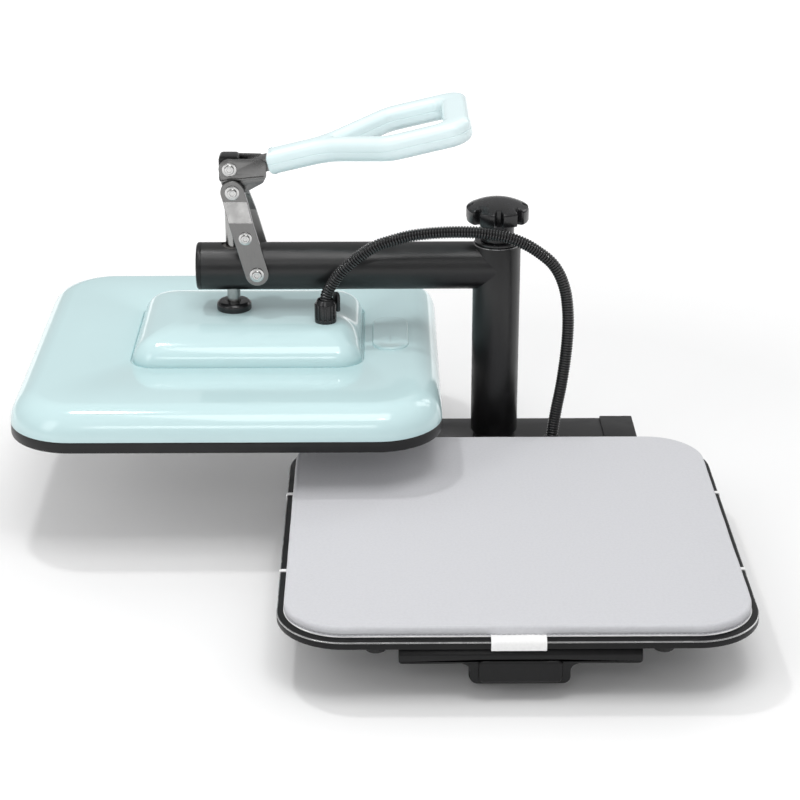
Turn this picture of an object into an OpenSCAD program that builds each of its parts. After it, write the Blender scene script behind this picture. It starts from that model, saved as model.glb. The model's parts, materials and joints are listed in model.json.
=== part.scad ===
// Swing-away flat heat press, in millimetres.
// Frame: the column axis stands on the floor at the origin, the arm points along -X as photographed,
// the lower platen lies towards -Y and +Z is up.

/* [Press area] */
// Side of the square press pad
pad_size = 380; // [340:1:420]
// Thickness of the press pad
pad_t = 10; // [9:0.5:18]
// Corner radius of the press pad
pad_corner_r = 50; // [30:1:70]
// Width of the lower platen that shows round the pad
platen_margin = 5.5; // [4:0.5:8]
// Thickness of the lower platen
platen_t = 6.5; // [6:0.5:12]
// Distance from the column axis to the rear edge of the pad
pad_setback = 60; // [56:1:90]
// Width of the elastic loops that hold the pad
loop_w = 4; // [3:0.5:8]
// Thickness of the elastic loops and of the tag
loop_t = 0.8; // [0.6:0.1:1.2]
// Distance of the loops from the middle of the pad
loop_offset = 76; // [50:1:110]
// How far the loops lie behind the middle of the pad
loop_shift = 5; // [0:1:10]
// Width of the fabric tag
tag_w = 44; // [20:1:60]
// Place of the tag along the front edge
tag_x = -2; // [-60:1:60]

/* [Base] */
// Thickness of the rubber foot pads
foot_t = 3; // [2:0.5:6]
// Width of the base spine
spine_w = 74; // [72:1:90]
// Height of the base spine
spine_h = 20; // [18:1:30]
// Wall of the base spine
spine_wall = 3; // [2:0.5:4]
// Setback of the spine's front cap from the front edge of the pad
spine_setback = 24; // [10:1:40]
// Depth of the spine's front cap
front_cap_t = 10; // [6:1:16]
// Height from the spine to the lower platen
bracket_h = 29.5; // [22:0.5:40]
// Width of the front platen bracket
bracket_w = 194; // [170:1:240]
// Depth of the front platen bracket
bracket_d = 55; // [45:1:70]
// Height of the bar of the front platen bracket
bracket_bar_h = 17; // [12:0.5:20]
// Depth of the nose below the bar of the front bracket
nose_drop = 17.8; // [10:0.1:20]
// Length of the rear beam
beam_w = 280; // [260:1:340]
// Height of the rear beam
beam_h = 40.5; // [40:0.5:60]
// Wall of the rear beam
beam_wall = 3; // [2:0.5:4]
// Distance from the column axis to the back of the rear beam
beam_back = 42.5; // [40:0.5:60]
// Gap between the rear beam and the lower platen
beam_gap = 12; // [8:0.5:16]
// Length of the beam's end caps
end_cap_len = 32; // [20:1:40]
// Wall of the beam's end caps
end_cap_wall = 1.5; // [1.5:0.5:3]

/* [Column and arm] */
// Outer diameter of the column sleeve and of the arm tube
tube_od = 45; // [44:0.5:50]
// Wall of the column sleeve and of the arm tube
tube_wall = 3; // [2.5:0.1:3.5]
// Outer diameter of the fixed post
post_od = 36; // [34:0.5:36.5]
// Wall of the fixed post
post_wall = 5; // [4:0.5:7]
// Height of the swing washer below the sleeve
swing_washer_h = 7.8; // [4:0.2:12]
// Length of each swivel bush
bush_len = 30; // [15:1:50]
// Length of the arm tube beyond the plunger axis
arm_beyond = 29; // [28:1:60]
// Flange thickness of the arm's end plug
plug_t = 5; // [3:0.5:8]

/* [Knob] */
// Diameter of the star knob over its lobes
knob_d = 59; // [50:1:64]
// Number of lobes of the star knob
knob_lobes = 8; // [6:1:10]
// Height of the lobes of the star knob
knob_lobe_h = 13.5; // [8:0.5:20]
// Diameter of the knob's neck
knob_neck_d = 32; // [26:1:36]
// Height of the knob's neck
knob_neck_h = 19.5; // [18:0.5:40]
// Diameter of the knob's stud
stud_d = 16; // [12:1:18]

/* [Lever] */
// Distance between the two pins of the lever
lever_r = 20.5; // [20:0.5:26]
// Lean of the line between the two pins at rest
lever_lean = 7; // [4:0.5:10]
// Distance from the plunger axis to the lower pivot of the straps
pivot_dx = 24; // [22:0.5:30]
// Height of the lever's lower pin above the arm axis
upper_pin_h = 77.5; // [72:0.5:90]
// Width of the straps
strap_w = 22; // [18:0.5:24]
// Thickness of the straps
strap_t = 3.5; // [3:0.5:4]
// Thickness of the lever cheeks
cheek_t = 3; // [2.5:0.5:4]
// Diameter of the pivot bolts
pin_d = 8; // [6:0.5:9]
// Length of the handle grip
handle_len = 193; // [150:1:220]
// Rise of the handle at rest
handle_lift = 13.4; // [5:0.1:15]
// Spacing of the two rails of the grip
rail_spacing = 100; // [80:1:120]
// Diameter of the rails of the grip
rail_d = 20; // [16:0.5:24]
// Diameter of the neck of the grip
neck_d = 24; // [22:0.5:28]

/* [Head] */
// Width by which the head stands out round the pad
head_margin = 5.5; // [3:0.5:6]
// Corner radius of the head
head_corner_r = 60; // [50:1:70]
// Height of the black rim
rim_h = 10.5; // [10.5:0.5:14]
// Wall of the black rim
rim_wall = 3.5; // [2.5:0.5:3.5]
// Height of the outer cover
cover_h = 27.5; // [26:0.5:40]
// Width of the rounded edge of the outer cover
cover_round = 27; // [18:0.5:30]
// Wall of both covers
cover_wall = 2.5; // [2:0.1:3]
// Width of the inner cover
inner_w = 214; // [205:1:225]
// Depth of the inner cover
inner_d = 168; // [160:1:200]
// Height of the inner cover above the outer cover
inner_h = 27; // [20:0.5:36]
// Width of the rounded edge of the inner cover
inner_round = 44; // [30:1:50]
// Shift of the inner cover from the plunger axis towards the column
inner_shift = 15; // [8:1:18]
// Thickness of the heat platen
heat_platen_t = 8.5; // [8:0.5:9]
// Diameter of the heating element
element_d = 7; // [6:0.5:9]
// Diameter of the plunger rod
rod_d = 12.5; // [12:0.5:15]
// Length of rod that shows between the collar and the arm
rod_show = 12; // [4:0.5:16]
// Diameter of the plunger collar
collar_d = 33; // [28:1:40]
// Height of the plunger collar
collar_h = 8.5; // [6:0.5:18]
// Width of the raised tab on the outer cover
tab_w = 34.5; // [24:0.5:36]
// Length of the raised tab on the outer cover
tab_len = 85; // [60:1:110]
// Height of the raised tab on the outer cover
tab_h = 2.5; // [2:0.1:5]
// Diameter of the finger dish in the tab
dish_d = 29; // [15:1:30]

/* [Hose] */
// Outer diameter of the hose over its ribs
hose_od = 11.5; // [10:0.1:11.8]
// Bore of the hose
hose_bore = 7.5; // [5:0.1:8.5]
// Number of ribs of the hose
hose_ribs = 160; // [60:1:200]

/* [Hidden] */

$fn = 64;
mint = [0.72, 0.90, 0.89];
black = [0.09, 0.09, 0.095];
steel = [0.66, 0.66, 0.65];

// Radial clearance of a running fit, of a fixed fit and of parts that only pass each other
run_gap = 0.05;
fix_gap = 0.02;
pass_gap = 0.3;
// Overshoot of cuts
eps = 1;

// Levels from the floor up to the pad
spine_top = foot_t + spine_h;
platen_z = spine_top + bracket_h;
pad_z = platen_z + platen_t;
pad_top = pad_z + pad_t;
beam_top = foot_t + beam_h;

// Plan of the base
arm_reach = pad_size / 2 + pad_setback;
pad_y = -arm_reach;
pad_front = pad_y - pad_size / 2;
platen_size = pad_size + 2 * platen_margin;
platen_corner_r = pad_corner_r + platen_margin;
spine_front = pad_front + spine_setback + front_cap_t;
front_cap_w = spine_w + 6;
beam_front = -(pad_setback - platen_margin - beam_gap);
beam_depth = beam_back - beam_front;
beam_half = beam_w / 2 - end_cap_wall;
bracket_y = pad_front + bracket_d / 2;
rear_bracket_y = -pad_setback - 60;
rear_bracket_w = 120;
rear_bracket_d = 40;
rear_bracket_wall = 4;

// Lever geometry, measured from the arm axis above the plunger axis
lower_pin_dx = lever_r * sin(lever_lean);
lever_drop = lever_r * cos(lever_lean);
lever_pin_h = upper_pin_h + lever_drop;
strap_len = norm([pivot_dx - lower_pin_dx, upper_pin_h]);
closed_pin_h = sqrt(pow(strap_len, 2) - pow(pivot_dx + lower_pin_dx, 2)) - lever_drop;
stroke = lever_pin_h - closed_pin_h;
press_gap = 0.3;

// Levels from the pad up to the arm
head_z = pad_top + stroke + press_gap;
cover_z = head_z + rim_h;
cover_top = cover_z + cover_h;
inner_top = cover_top + inner_h;
collar_top = inner_top + collar_h;
arm_z = collar_top + rod_show + tube_od / 2;
sleeve_top = arm_z + tube_od / 2;
lever_z = arm_z + lever_pin_h;

// Column
sleeve_z = beam_top + swing_washer_h + 0.2;
sleeve_bore = tube_od - 2 * tube_wall;
post_top = sleeve_top - 1;
post_bore = post_od - 2 * post_wall;
flange_d = spine_w - 4;
flange_t = 6;
flange_pcd = (flange_d + post_od) / 2 + 1;
bolt_d = 6;
bolt_hole = 6.4;
insert_len = 45;
knob_washer_t = 2.5;
knob_washer_d = tube_od - 3;
knob_washer_z = sleeve_top + pass_gap;
knob_z = knob_washer_z + knob_washer_t + 0.1;

// Arm and lever layers, measured from the middle plane of the arm
plug_len = 12;
guide_od = rod_d + 8;
eye_half = 8.2;
cheek_in = eye_half + pass_gap;
cheek_out = cheek_in + cheek_t;
rib_t = 1.4;
pin_head_t = 3;
strap_top_in = cheek_out + pin_head_t + 0.5;
strap_low_in = tube_od / 2 + 0.7;
bolt_head_d = 13.5;
bolt_head_t = 4.2;
joggle_low = tube_od / 2 + 26;
joggle_high = joggle_low + 18;
tie_share = 0.46;
tie_d = 6;
handle_root = 36;
handle_rise = -4.5;
tang_in = 18;
tang_out = 95;
tang_h = 13;

// Head
head_size = pad_size + 2 * head_margin;
platen_gap = 0.5;
hot_size = head_size - 2 * (rim_wall + platen_gap);
hot_r = head_corner_r - rim_wall - platen_gap;
hot_top = head_z + heat_platen_t;
rim_lip_t = 2.5;
rim_lip_w = 16;
board_z = hot_top + element_d + pass_gap;
board_t = 4;
mount_z = board_z + board_t + 1;
mount_t = 4;
mount_w = 200;
mount_d = 150;
pillar_dx = 80;
pillar_dy = 56;
pillar_d = 12;
pillar_screw_d = 6;
hub_d = 30;
hub_h = 18;
element_pitch = 56;
element_runs = 6;
element_len = pad_size - 80;
inner_flange = 9;
inner_corner_r = 24;
seam = 1.6;
skirt_z = cover_top - cover_wall - 3;
gland_inset = [34, 48];
gland_x = -arm_reach + inner_shift + inner_w / 2 - gland_inset[0];
gland_y = gland_inset[1] - inner_d / 2;
gland_hole = 13.5;
gland_seat_d = 32;
gland_h = 22;
latch_turn = 35;
tab_gap = 9.75;
tab_x = inner_shift + inner_w / 2 + tab_gap + tab_w / 2;

// Rear sockets: the switch beside the spine, and the inlet midway from it to the end cap
bezel_w = 22;
switch_x = spine_w / 2 + bezel_w / 2;
inlet_x = (switch_x + bezel_w / 2 + beam_w / 2 - end_cap_len) / 2;
socket_z = foot_t + beam_h / 2 + 1;
bezel_h = 19;
bezel_t = 2;
rocker_r = 6;
rocker_w = 14;
rocker_tilt = 8;
inlet_w = 27;
inlet_h = 20;
inlet_deep = 20;
inlet_wall = 1.5;

// Hose route from inside the head, through its gland, over the arm and down into the rear beam.
// Its points are measured from the head's gland, from the top of the column and from the beam's gland
base_gland_x = 54.5;
base_gland_y = -31;
hose_route = concat(
    [for (p = [[0, 0, -34.5], [0, 0, -4.5], [0.4, -0.3, 22.5], [6, -1, 36.5], [15.5, -2, 50], [33, -3.5, 66]])
        [gland_x + p[0], gland_y + p[1], inner_top + p[2]]],
    [for (p = [[-113.5, -40.5, 10.5], [-98, -41, 16], [-83, -41, 20], [-67.5, -41, 22.2], [-52, -41, 23.3],
               [-36.5, -41, 23.6], [-21, -41, 23], [-6, -41, 21], [9.5, -41, 17.5], [25.5, -40.5, 10.8],
               [41, -39.5, 0], [50, -38.7, -8.5], [56.7, -38, -19], [61.4, -37.2, -31], [64.3, -36.5, -43.5]])
        [p[0], p[1], sleeve_top + p[2]]],
    [for (p = [[11.7, -4.5, 136.5], [11.9, -3.5, 118], [11, -2.5, 99.5], [9.3, -1.6, 81], [7, -1, 62],
               [3.9, -0.4, 43], [1.3, 0, 23.5], [0, 0, 8.5], [0, 0, -5.5]])
        [base_gland_x + p[0], base_gland_y + p[1], beam_top + p[2]]]);
base_gland_h = 12;
hose_passage = 12.3;
gland_d = hose_passage + 8.2;
hose_sides = 8;
hose_bore_rings = 50;
hose_samples = 12;

// Plan shapes

module rounded_square(w, d, r) {
    square([w - 2 * r, d], center = true);
    square([w, d - 2 * r], center = true);
    for (sx = [-1, 1], sy = [-1, 1])
        translate([sx * (w / 2 - r), sy * (d / 2 - r)]) circle(r);
}

module slab(w, d, r, t) {
    linear_extrude(t) rounded_square(w, d, r);
}

// A box between two opposite corners
module span(low, high) {
    translate(low) cube(high - low);
}

// A cylinder along Y, given by its two ends
module rod_y(d, y0, y1) {
    translate([0, y1, 0]) rotate([90, 0, 0]) cylinder(d = d, h = y1 - y0);
}

// A plan in X and Z, extruded along Y between two places
module plate_y(y0, y1) {
    translate([0, y1, 0]) rotate([90, 0, 0]) linear_extrude(y1 - y0) children();
}

// A ring of points round a rounded square, counter-clockwise
function plan_ring(w, d, r, z, n = 8) = [
    for (c = [0:3], i = [0:n])
        let (a = 90 * c + 90 * i / n,
             sx = (c == 0 || c == 3) ? 1 : -1,
             sy = (c < 2) ? 1 : -1)
        [sx * (w / 2 - r) + r * cos(a), sy * (d / 2 - r) + r * sin(a), z]
];

// A closed solid through rings of equal count, from the lowest to the highest
module loft(rings) {
    n = len(rings[0]);
    m = len(rings);
    polyhedron(
        points = [for (ring = rings) each ring],
        faces = concat(
            [[for (j = [0:n - 1]) j]],
            [[for (j = [n - 1:-1:0]) (m - 1) * n + j]],
            [for (i = [0:m - 2], j = [0:n - 1]) [i * n + j, (i + 1) * n + j, (i + 1) * n + (j + 1) % n]],
            [for (i = [0:m - 2], j = [0:n - 1]) [i * n + j, (i + 1) * n + (j + 1) % n, i * n + (j + 1) % n]]));
}

// A dome on a rounded square: its edge bends in over a width and rises over a height, above a straight skirt
module dome(w, d, r, edge, h, z, skirt, steps = 7, least_r = 12) {
    foot = skirt > 0 ? [plan_ring(w, d, r, z - skirt)] : [];
    bend = [for (k = [0:steps])
        let (inset = edge * (1 - cos(90 * k / steps)), rise = h * sin(90 * k / steps))
        plan_ring(w - 2 * inset, d - 2 * inset, max(r - 0.85 * inset, least_r), z + rise)];
    loft(concat(foot, bend));
}

module at_plunger() {
    translate([-arm_reach, 0, 0]) children();
}

// The lever's pin on the plunger axis, at rest
module at_lever() {
    translate([-arm_reach, 0, lever_z]) children();
}

// A bolt head along +Y, seated at Y = 0: a round flange and a button with a hexagon socket
module bolt_head(d, t) {
    flange = 0.3 * t;
    difference() {
        rotate([-90, 0, 0]) {
            cylinder(d = d, h = flange);
            cylinder(d1 = 0.74 * d, d2 = 0.6 * d, h = t);
        }
        translate([0, t + eps, 0]) rotate([90, 0, 0]) cylinder(d = 0.34 * d, h = 0.5 * t, $fn = 6);
    }
}

// Base

module rear_beam() {
    color(black) difference() {
        span([-beam_half, beam_front, foot_t], [beam_half, beam_back, beam_top]);
        span([-beam_w, beam_front + beam_wall, foot_t - eps],
             [beam_w, beam_back - beam_wall, beam_top - beam_wall]);
        cylinder(d = post_od + 1, h = 2 * beam_top);
        span([-spine_w / 2 - 0.2, beam_front - eps, foot_t - eps],
             [spine_w / 2 + 0.2, beam_front + beam_wall + eps, spine_top + 0.2]);
        translate([base_gland_x, base_gland_y, 0]) cylinder(d = hose_passage + 4.3, h = 2 * beam_top);
        translate([switch_x, beam_back, socket_z])
            cube([bezel_w - 4, 4 * beam_wall, bezel_h - 4], center = true);
        translate([inlet_x, beam_back, socket_z])
            cube([inlet_w + 0.4, 4 * beam_wall, inlet_h + 0.4], center = true);
    }
}

module beam_end_caps() {
    color(black) for (s = [-1, 1]) scale([s, 1, 1]) difference() {
        span([beam_w / 2 - end_cap_len, beam_front - end_cap_wall, foot_t],
             [beam_w / 2, beam_back + end_cap_wall, beam_top + end_cap_wall]);
        span([0, beam_front, foot_t - eps], [beam_half, beam_back, beam_top]);
    }
}

bottom_cover_t = 2;

module beam_bottom_covers() {
    color(black) for (s = [-1, 1]) scale([s, 1, 1])
        span([spine_w / 2 + 0.3, beam_front + beam_wall + 0.2, foot_t],
             [beam_half - 0.3, beam_back - beam_wall - 0.2, foot_t + bottom_cover_t]);
}

module flange_bolts_at() {
    for (a = [45:90:315]) rotate(a) translate([flange_pcd / 2, 0, 0]) children();
}

module base_spine() {
    color(black) difference() {
        span([-spine_w / 2, spine_front, foot_t],
             [spine_w / 2, beam_back - beam_wall - 0.2, spine_top]);
        span([-spine_w / 2 + spine_wall, spine_front - eps, foot_t + spine_wall],
             [spine_w / 2 - spine_wall, beam_back, spine_top - spine_wall]);
        flange_bolts_at() translate([0, 0, spine_top - spine_wall - eps])
            cylinder(d = bolt_hole, h = spine_wall + 2 * eps);
    }
}

module spine_front_cap() {
    plug_gap = 0.2;
    plug_len = 15;
    edge_r = 7;
    corner_r = 5;
    cap_low = foot_t + 1.5;
    cap_h = spine_top - cap_low;
    front = spine_front - front_cap_t;
    color(black) union() {
        intersection() {
            translate([0, spine_front, cap_low]) slab(front_cap_w, 2 * front_cap_t, edge_r, cap_h);
            plate_y(front - eps, spine_front) translate([0, cap_low + cap_h / 2])
                rounded_square(front_cap_w, cap_h, corner_r);
        }
        span([-spine_w / 2 + spine_wall + plug_gap, spine_front - eps, foot_t + spine_wall + plug_gap],
             [spine_w / 2 - spine_wall - plug_gap, spine_front + plug_len, spine_top - spine_wall - plug_gap]);
    }
}

// Places of the screws that hold the lower platen on its two brackets
module platen_screws_at() {
    for (s = [-1, 1]) {
        translate([s * bracket_w * 0.36, bracket_y, 0]) children();
        translate([s * rear_bracket_w * 0.38, rear_bracket_y, 0]) children();
    }
}

platen_screw_deep = 11;

// Outline of the nose under the bar, with fillets up to it
module nose_outline(w, low, high, corner_r, fillet) {
    h = high - low + corner_r;
    translate([0, low + h / 2]) rounded_square(w, h, corner_r);
    difference() {
        translate([-w / 2 - fillet, high - fillet]) square([w + 2 * fillet, fillet + eps]);
        for (s = [-1, 1]) translate([s * (w / 2 + fillet), high - fillet]) circle(fillet);
    }
}

module front_bracket() {
    bar_z = platen_z - bracket_bar_h;
    bevel = 6;
    back = pad_front + bracket_d;
    end_r = 4;
    nose_front = pad_front + 1;
    nose_t = 14;
    nose_low = bar_z - nose_drop;
    nose_r = 6;
    fillet = min(6.5, nose_drop / 2);
    face_w = front_cap_w - 13;
    face_t = 2.5;
    face_inset = 1.8;
    face_over = 4;
    face_h = nose_drop + face_over - face_inset;
    color(black) difference() {
        union() {
            intersection() {
                rotate([90, 0, 90]) linear_extrude(2 * bracket_w, center = true) polygon([
                    [pad_front + bevel, platen_z], [pad_front, platen_z - bevel - 2],
                    [pad_front, bar_z + 2], [pad_front + 2, bar_z], [back, bar_z], [back, platen_z]]);
                plate_y(pad_front - eps, back + eps) translate([0, platen_z - bracket_bar_h / 2]) {
                    rounded_square(bracket_w, bracket_bar_h, end_r);
                    translate([-bracket_w / 2, 0]) square([bracket_w, bracket_bar_h / 2]);
                }
            }
            span([-front_cap_w / 2, spine_front, spine_top], [front_cap_w / 2, back, bar_z + eps]);
            plate_y(nose_front, nose_front + nose_t)
                nose_outline(front_cap_w, nose_low, bar_z, nose_r, fillet);
            plate_y(nose_front - face_t, nose_front + eps) translate([0, nose_low + face_inset + face_h / 2])
                rounded_square(face_w, face_h, nose_r - face_inset);
        }
        platen_screws_at() translate([0, 0, platen_z - platen_screw_deep - eps])
            cylinder(d = bolt_d + 0.2, h = platen_screw_deep + 2 * eps);
    }
}

module rear_bracket() {
    color(black) translate([0, rear_bracket_y, spine_top]) difference() {
        translate([-rear_bracket_w / 2, -rear_bracket_d / 2, 0])
            cube([rear_bracket_w, rear_bracket_d, bracket_h]);
        translate([-rear_bracket_w, -rear_bracket_d / 2 + rear_bracket_wall, -eps])
            cube([2 * rear_bracket_w, rear_bracket_d - 2 * rear_bracket_wall,
                  bracket_h - rear_bracket_wall + eps]);
        for (s = [-1, 1]) translate([s * rear_bracket_w * 0.38, 0, 0])
            cylinder(d = bolt_d + 0.2, h = 2 * bracket_h);
    }
}

screw_head_d = 12;
screw_head_t = 3;

module lower_platen() {
    color(black) difference() {
        translate([0, pad_y, platen_z]) slab(platen_size, platen_size, platen_corner_r, platen_t);
        platen_screws_at() {
            cylinder(d = bolt_hole, h = 2 * pad_z);
            translate([0, 0, pad_z - screw_head_t - 0.2])
                cylinder(d1 = bolt_hole, d2 = screw_head_d + 0.8, h = screw_head_t + 0.3);
        }
    }
}

module platen_screws() {
    color(steel) platen_screws_at() translate([0, 0, pad_z - screw_head_t]) {
        cylinder(d1 = bolt_d, d2 = screw_head_d, h = screw_head_t - 0.1);
        translate([0, 0, screw_head_t - platen_t - platen_screw_deep + 0.5])
            cylinder(d = bolt_d, h = platen_t + platen_screw_deep - screw_head_t);
    }
}

module platen_bumpers() {
    bumper_d = 17;
    bumper_h = 10;
    color(black) for (s = [-1, 1])
        translate([s * (bracket_w / 2 + 18), pad_front + 15, platen_z - bumper_h])
            cylinder(d = bumper_d, h = bumper_h);
}

// The pad's crown is low, and its sides bulge between a drawn-in lower and a rounded upper edge
module press_pad() {
    crown = 0.6;
    side = pad_t / 2 - crown / 2;
    low_edge = 3.5;
    top_edge = 4.8;
    rise_half = 130;
    flat_half = 60;
    steps = 4;
    lower = [for (k = [0:steps]) let (a = 90 * k / steps)
        [low_edge * (1 - sin(a)), side * (1 - cos(a))]];
    upper = [for (k = [1:steps]) let (a = 90 * k / steps)
        [top_edge * (1 - cos(a)), side + side * sin(a)]];
    middle = [[pad_size / 2 - rise_half, pad_t - 0.15], [pad_size / 2 - flat_half, pad_t]];
    color([0.66, 0.66, 0.70]) translate([0, pad_y, pad_z])
        loft([for (p = concat(lower, upper, middle))
            plan_ring(pad_size - 2 * p[0], pad_size - 2 * p[0], max(pad_corner_r - p[0], 20), p[1])]);
}

module pad_loops() {
    half = platen_size / 2;
    inner = pad_size / 2 - 0.5;
    under = half - 26;
    color("white") translate([0, pad_y + loop_shift, 0])
        for (sx = [-1, 1], sy = [-1, 1]) translate([0, sy * loop_offset, 0]) scale([sx, 1, 1]) {
            span([inner, -loop_w / 2, pad_z], [half + loop_t, loop_w / 2, pad_z + loop_t]);
            span([half, -loop_w / 2, platen_z - loop_t], [half + loop_t, loop_w / 2, pad_z + loop_t]);
            span([under, -loop_w / 2, platen_z - loop_t], [half + loop_t, loop_w / 2, platen_z]);
        }
}

module pad_tag() {
    edge = pad_y - platen_size / 2;
    color("white") translate([tag_x, 0, 0]) {
        span([-tag_w / 2, edge - loop_t, pad_z], [tag_w / 2, pad_front + 0.5, pad_z + loop_t]);
        span([-tag_w / 2, edge - loop_t, platen_z - 1], [tag_w / 2, edge, pad_z + loop_t]);
    }
}

module foot_pads() {
    rear_half = min(beam_back, -beam_front) - beam_wall - 8;
    color(black) {
        span([-beam_half + 8, -rear_half, 0], [beam_half - 8, rear_half, foot_t]);
        span([-spine_w / 2 + 3, spine_front + 3, 0], [spine_w / 2 - 3, spine_front + 48, foot_t]);
    }
}

module swivel_post() {
    color(black) difference() {
        union() {
            translate([0, 0, spine_top]) cylinder(d = flange_d, h = flange_t);
            translate([0, 0, spine_top]) cylinder(d = post_od, h = post_top - spine_top);
        }
        translate([0, 0, spine_top - eps]) cylinder(d = post_bore, h = post_top);
        flange_bolts_at() translate([0, 0, spine_top - eps]) cylinder(d = bolt_hole, h = flange_t + 2 * eps);
    }
}

module post_bolts() {
    nut_t = 5;
    grip = flange_t + spine_wall;
    color(steel) flange_bolts_at() translate([0, 0, spine_top + flange_t]) {
        cylinder(d = 10, h = 4);
        translate([0, 0, -grip - nut_t - 1]) cylinder(d = bolt_d, h = grip + nut_t + 1 + eps);
        translate([0, 0, -grip - nut_t]) cylinder(d = 11, h = nut_t, $fn = 6);
    }
}

module post_insert() {
    color(steel) translate([0, 0, post_top - insert_len]) difference() {
        cylinder(d = post_bore - 2 * fix_gap, h = insert_len);
        translate([0, 0, -eps]) cylinder(d = stud_d + 2 * run_gap, h = insert_len + 2 * eps);
    }
}

module swing_washer() {
    color(black) translate([0, 0, beam_top]) difference() {
        cylinder(d = tube_od - 5, h = swing_washer_h);
        translate([0, 0, -eps]) cylinder(d = post_od + 2 * run_gap, h = swing_washer_h + 2 * eps);
    }
}

module hose_base_gland() {
    nut_h = 5;
    thread_d = hose_passage + 4;
    below = beam_wall + 4;
    color(black) translate([base_gland_x, base_gland_y, beam_top]) difference() {
        union() {
            cylinder(d = hose_passage + 9, h = nut_h, $fn = 6);
            cylinder(d = hose_passage + 6, h = base_gland_h - 3);
            translate([0, 0, base_gland_h - 3]) cylinder(d1 = hose_passage + 6, d2 = hose_passage + 3, h = 3);
            translate([0, 0, -below]) cylinder(d = thread_d, h = below + eps);
        }
        translate([0, 0, -below - eps]) cylinder(d = hose_passage, h = base_gland_h + below + 2 * eps);
    }
}

// The hose: a smooth curve through the route's points, walked at an even pace

function curve_point(t) =
    let (last = len(hose_route) - 1,
         i = min(floor(t), last - 1),
         u = t - i,
         a = hose_route[max(i - 1, 0)],
         b = hose_route[i],
         c = hose_route[i + 1],
         d = hose_route[min(i + 2, last)])
    0.5 * (2 * b + (c - a) * u + (2 * a - 5 * b + 4 * c - d) * u * u + (3 * b - a - 3 * c + d) * u * u * u);

hose_steps = hose_samples * (len(hose_route) - 1);
hose_walk = [
    for (i = 0, s = 0; i <= hose_steps;
         i = i + 1,
         s = s + (i > hose_steps ? 0 : norm(curve_point(i / hose_samples) - curve_point((i - 1) / hose_samples))))
        [s, i / hose_samples]
];
hose_length = hose_walk[hose_steps][0];
echo(hose_length = hose_length);

function hose_place(s) = lookup(s, hose_walk);

function hose_ring(s, r, n = hose_sides) =
    let (t = hose_place(s),
         top = len(hose_route) - 1,
         ahead = curve_point(min(t + 0.02, top)) - curve_point(max(t - 0.02, 0)),
         along = ahead / norm(ahead),
         side_raw = [0, 1, 0] - along * along[1],
         side = side_raw / norm(side_raw),
         up = cross(along, side),
         centre = curve_point(t))
    [for (j = [0:n - 1]) centre + r * (cos(360 * j / n) * side + sin(360 * j / n) * up)];

module hose() {
    n = hose_sides;
    pitch = hose_length / hose_ribs;
    valley = hose_od / 2 - 0.8;
    outer = [for (k = [0:2 * hose_ribs])
        hose_ring(k * pitch / 2, k % 2 == 0 ? valley : hose_od / 2)];
    inner = [for (k = [0:hose_bore_rings]) hose_ring(k * hose_length / hose_bore_rings, hose_bore / 2)];
    a = len(outer);
    b = len(inner);
    first = a * n;
    color(black) polyhedron(
        points = concat([for (ring = outer) each ring], [for (ring = inner) each ring]),
        faces = concat(
            [for (i = [0:a - 2], j = [0:n - 1]) [i * n + j, (i + 1) * n + j, (i + 1) * n + (j + 1) % n]],
            [for (i = [0:a - 2], j = [0:n - 1]) [i * n + j, (i + 1) * n + (j + 1) % n, i * n + (j + 1) % n]],
            [for (i = [0:b - 2], j = [0:n - 1])
                [first + i * n + j, first + (i + 1) * n + (j + 1) % n, first + (i + 1) * n + j]],
            [for (i = [0:b - 2], j = [0:n - 1])
                [first + i * n + j, first + i * n + (j + 1) % n, first + (i + 1) * n + (j + 1) % n]],
            [for (j = [0:n - 1]) [j, (j + 1) % n, first + (j + 1) % n]],
            [for (j = [0:n - 1]) [j, first + (j + 1) % n, first + j]],
            [for (j = [0:n - 1]) let (o = (a - 1) * n, i = first + (b - 1) * n)
                [o + j, i + (j + 1) % n, o + (j + 1) % n]],
            [for (j = [0:n - 1]) let (o = (a - 1) * n, i = first + (b - 1) * n)
                [o + j, i + j, i + (j + 1) % n]]));
}

module power_board() {
    end_gap = 10;
    board_l = 70;
    board_w = 50;
    board_thick = 1.6;
    post_h = 5;
    post_d = 6;
    post_inset = 5;
    sink = 0.5;
    transformer = [20, 16, 15];
    relay = [26, 10, 11];
    capacitor_d = 14;
    capacitor_h = 18;
    board_x = -beam_half + end_gap;
    post_z = foot_t + bottom_cover_t;
    board_low = post_z + post_h;
    board_top = board_low + board_thick;
    color([0.10, 0.30, 0.16]) union() {
        span([board_x, -board_w / 2, board_low], [board_x + board_l, board_w / 2, board_top]);
        for (x = [post_inset, board_l - post_inset], s = [-1, 1])
            translate([board_x + x, s * (board_w / 2 - post_inset), post_z]) cylinder(d = post_d, h = post_h + sink);
        translate([board_x + 0.12 * board_l, -0.32 * board_w, board_top - sink]) cube(transformer);
        translate([board_x + 0.64 * board_l, 0.16 * board_w, board_top - sink])
            cylinder(d = capacitor_d, h = capacitor_h);
        translate([board_x + 0.52 * board_l, -0.36 * board_w, board_top - sink]) cube(relay);
    }
}

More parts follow.
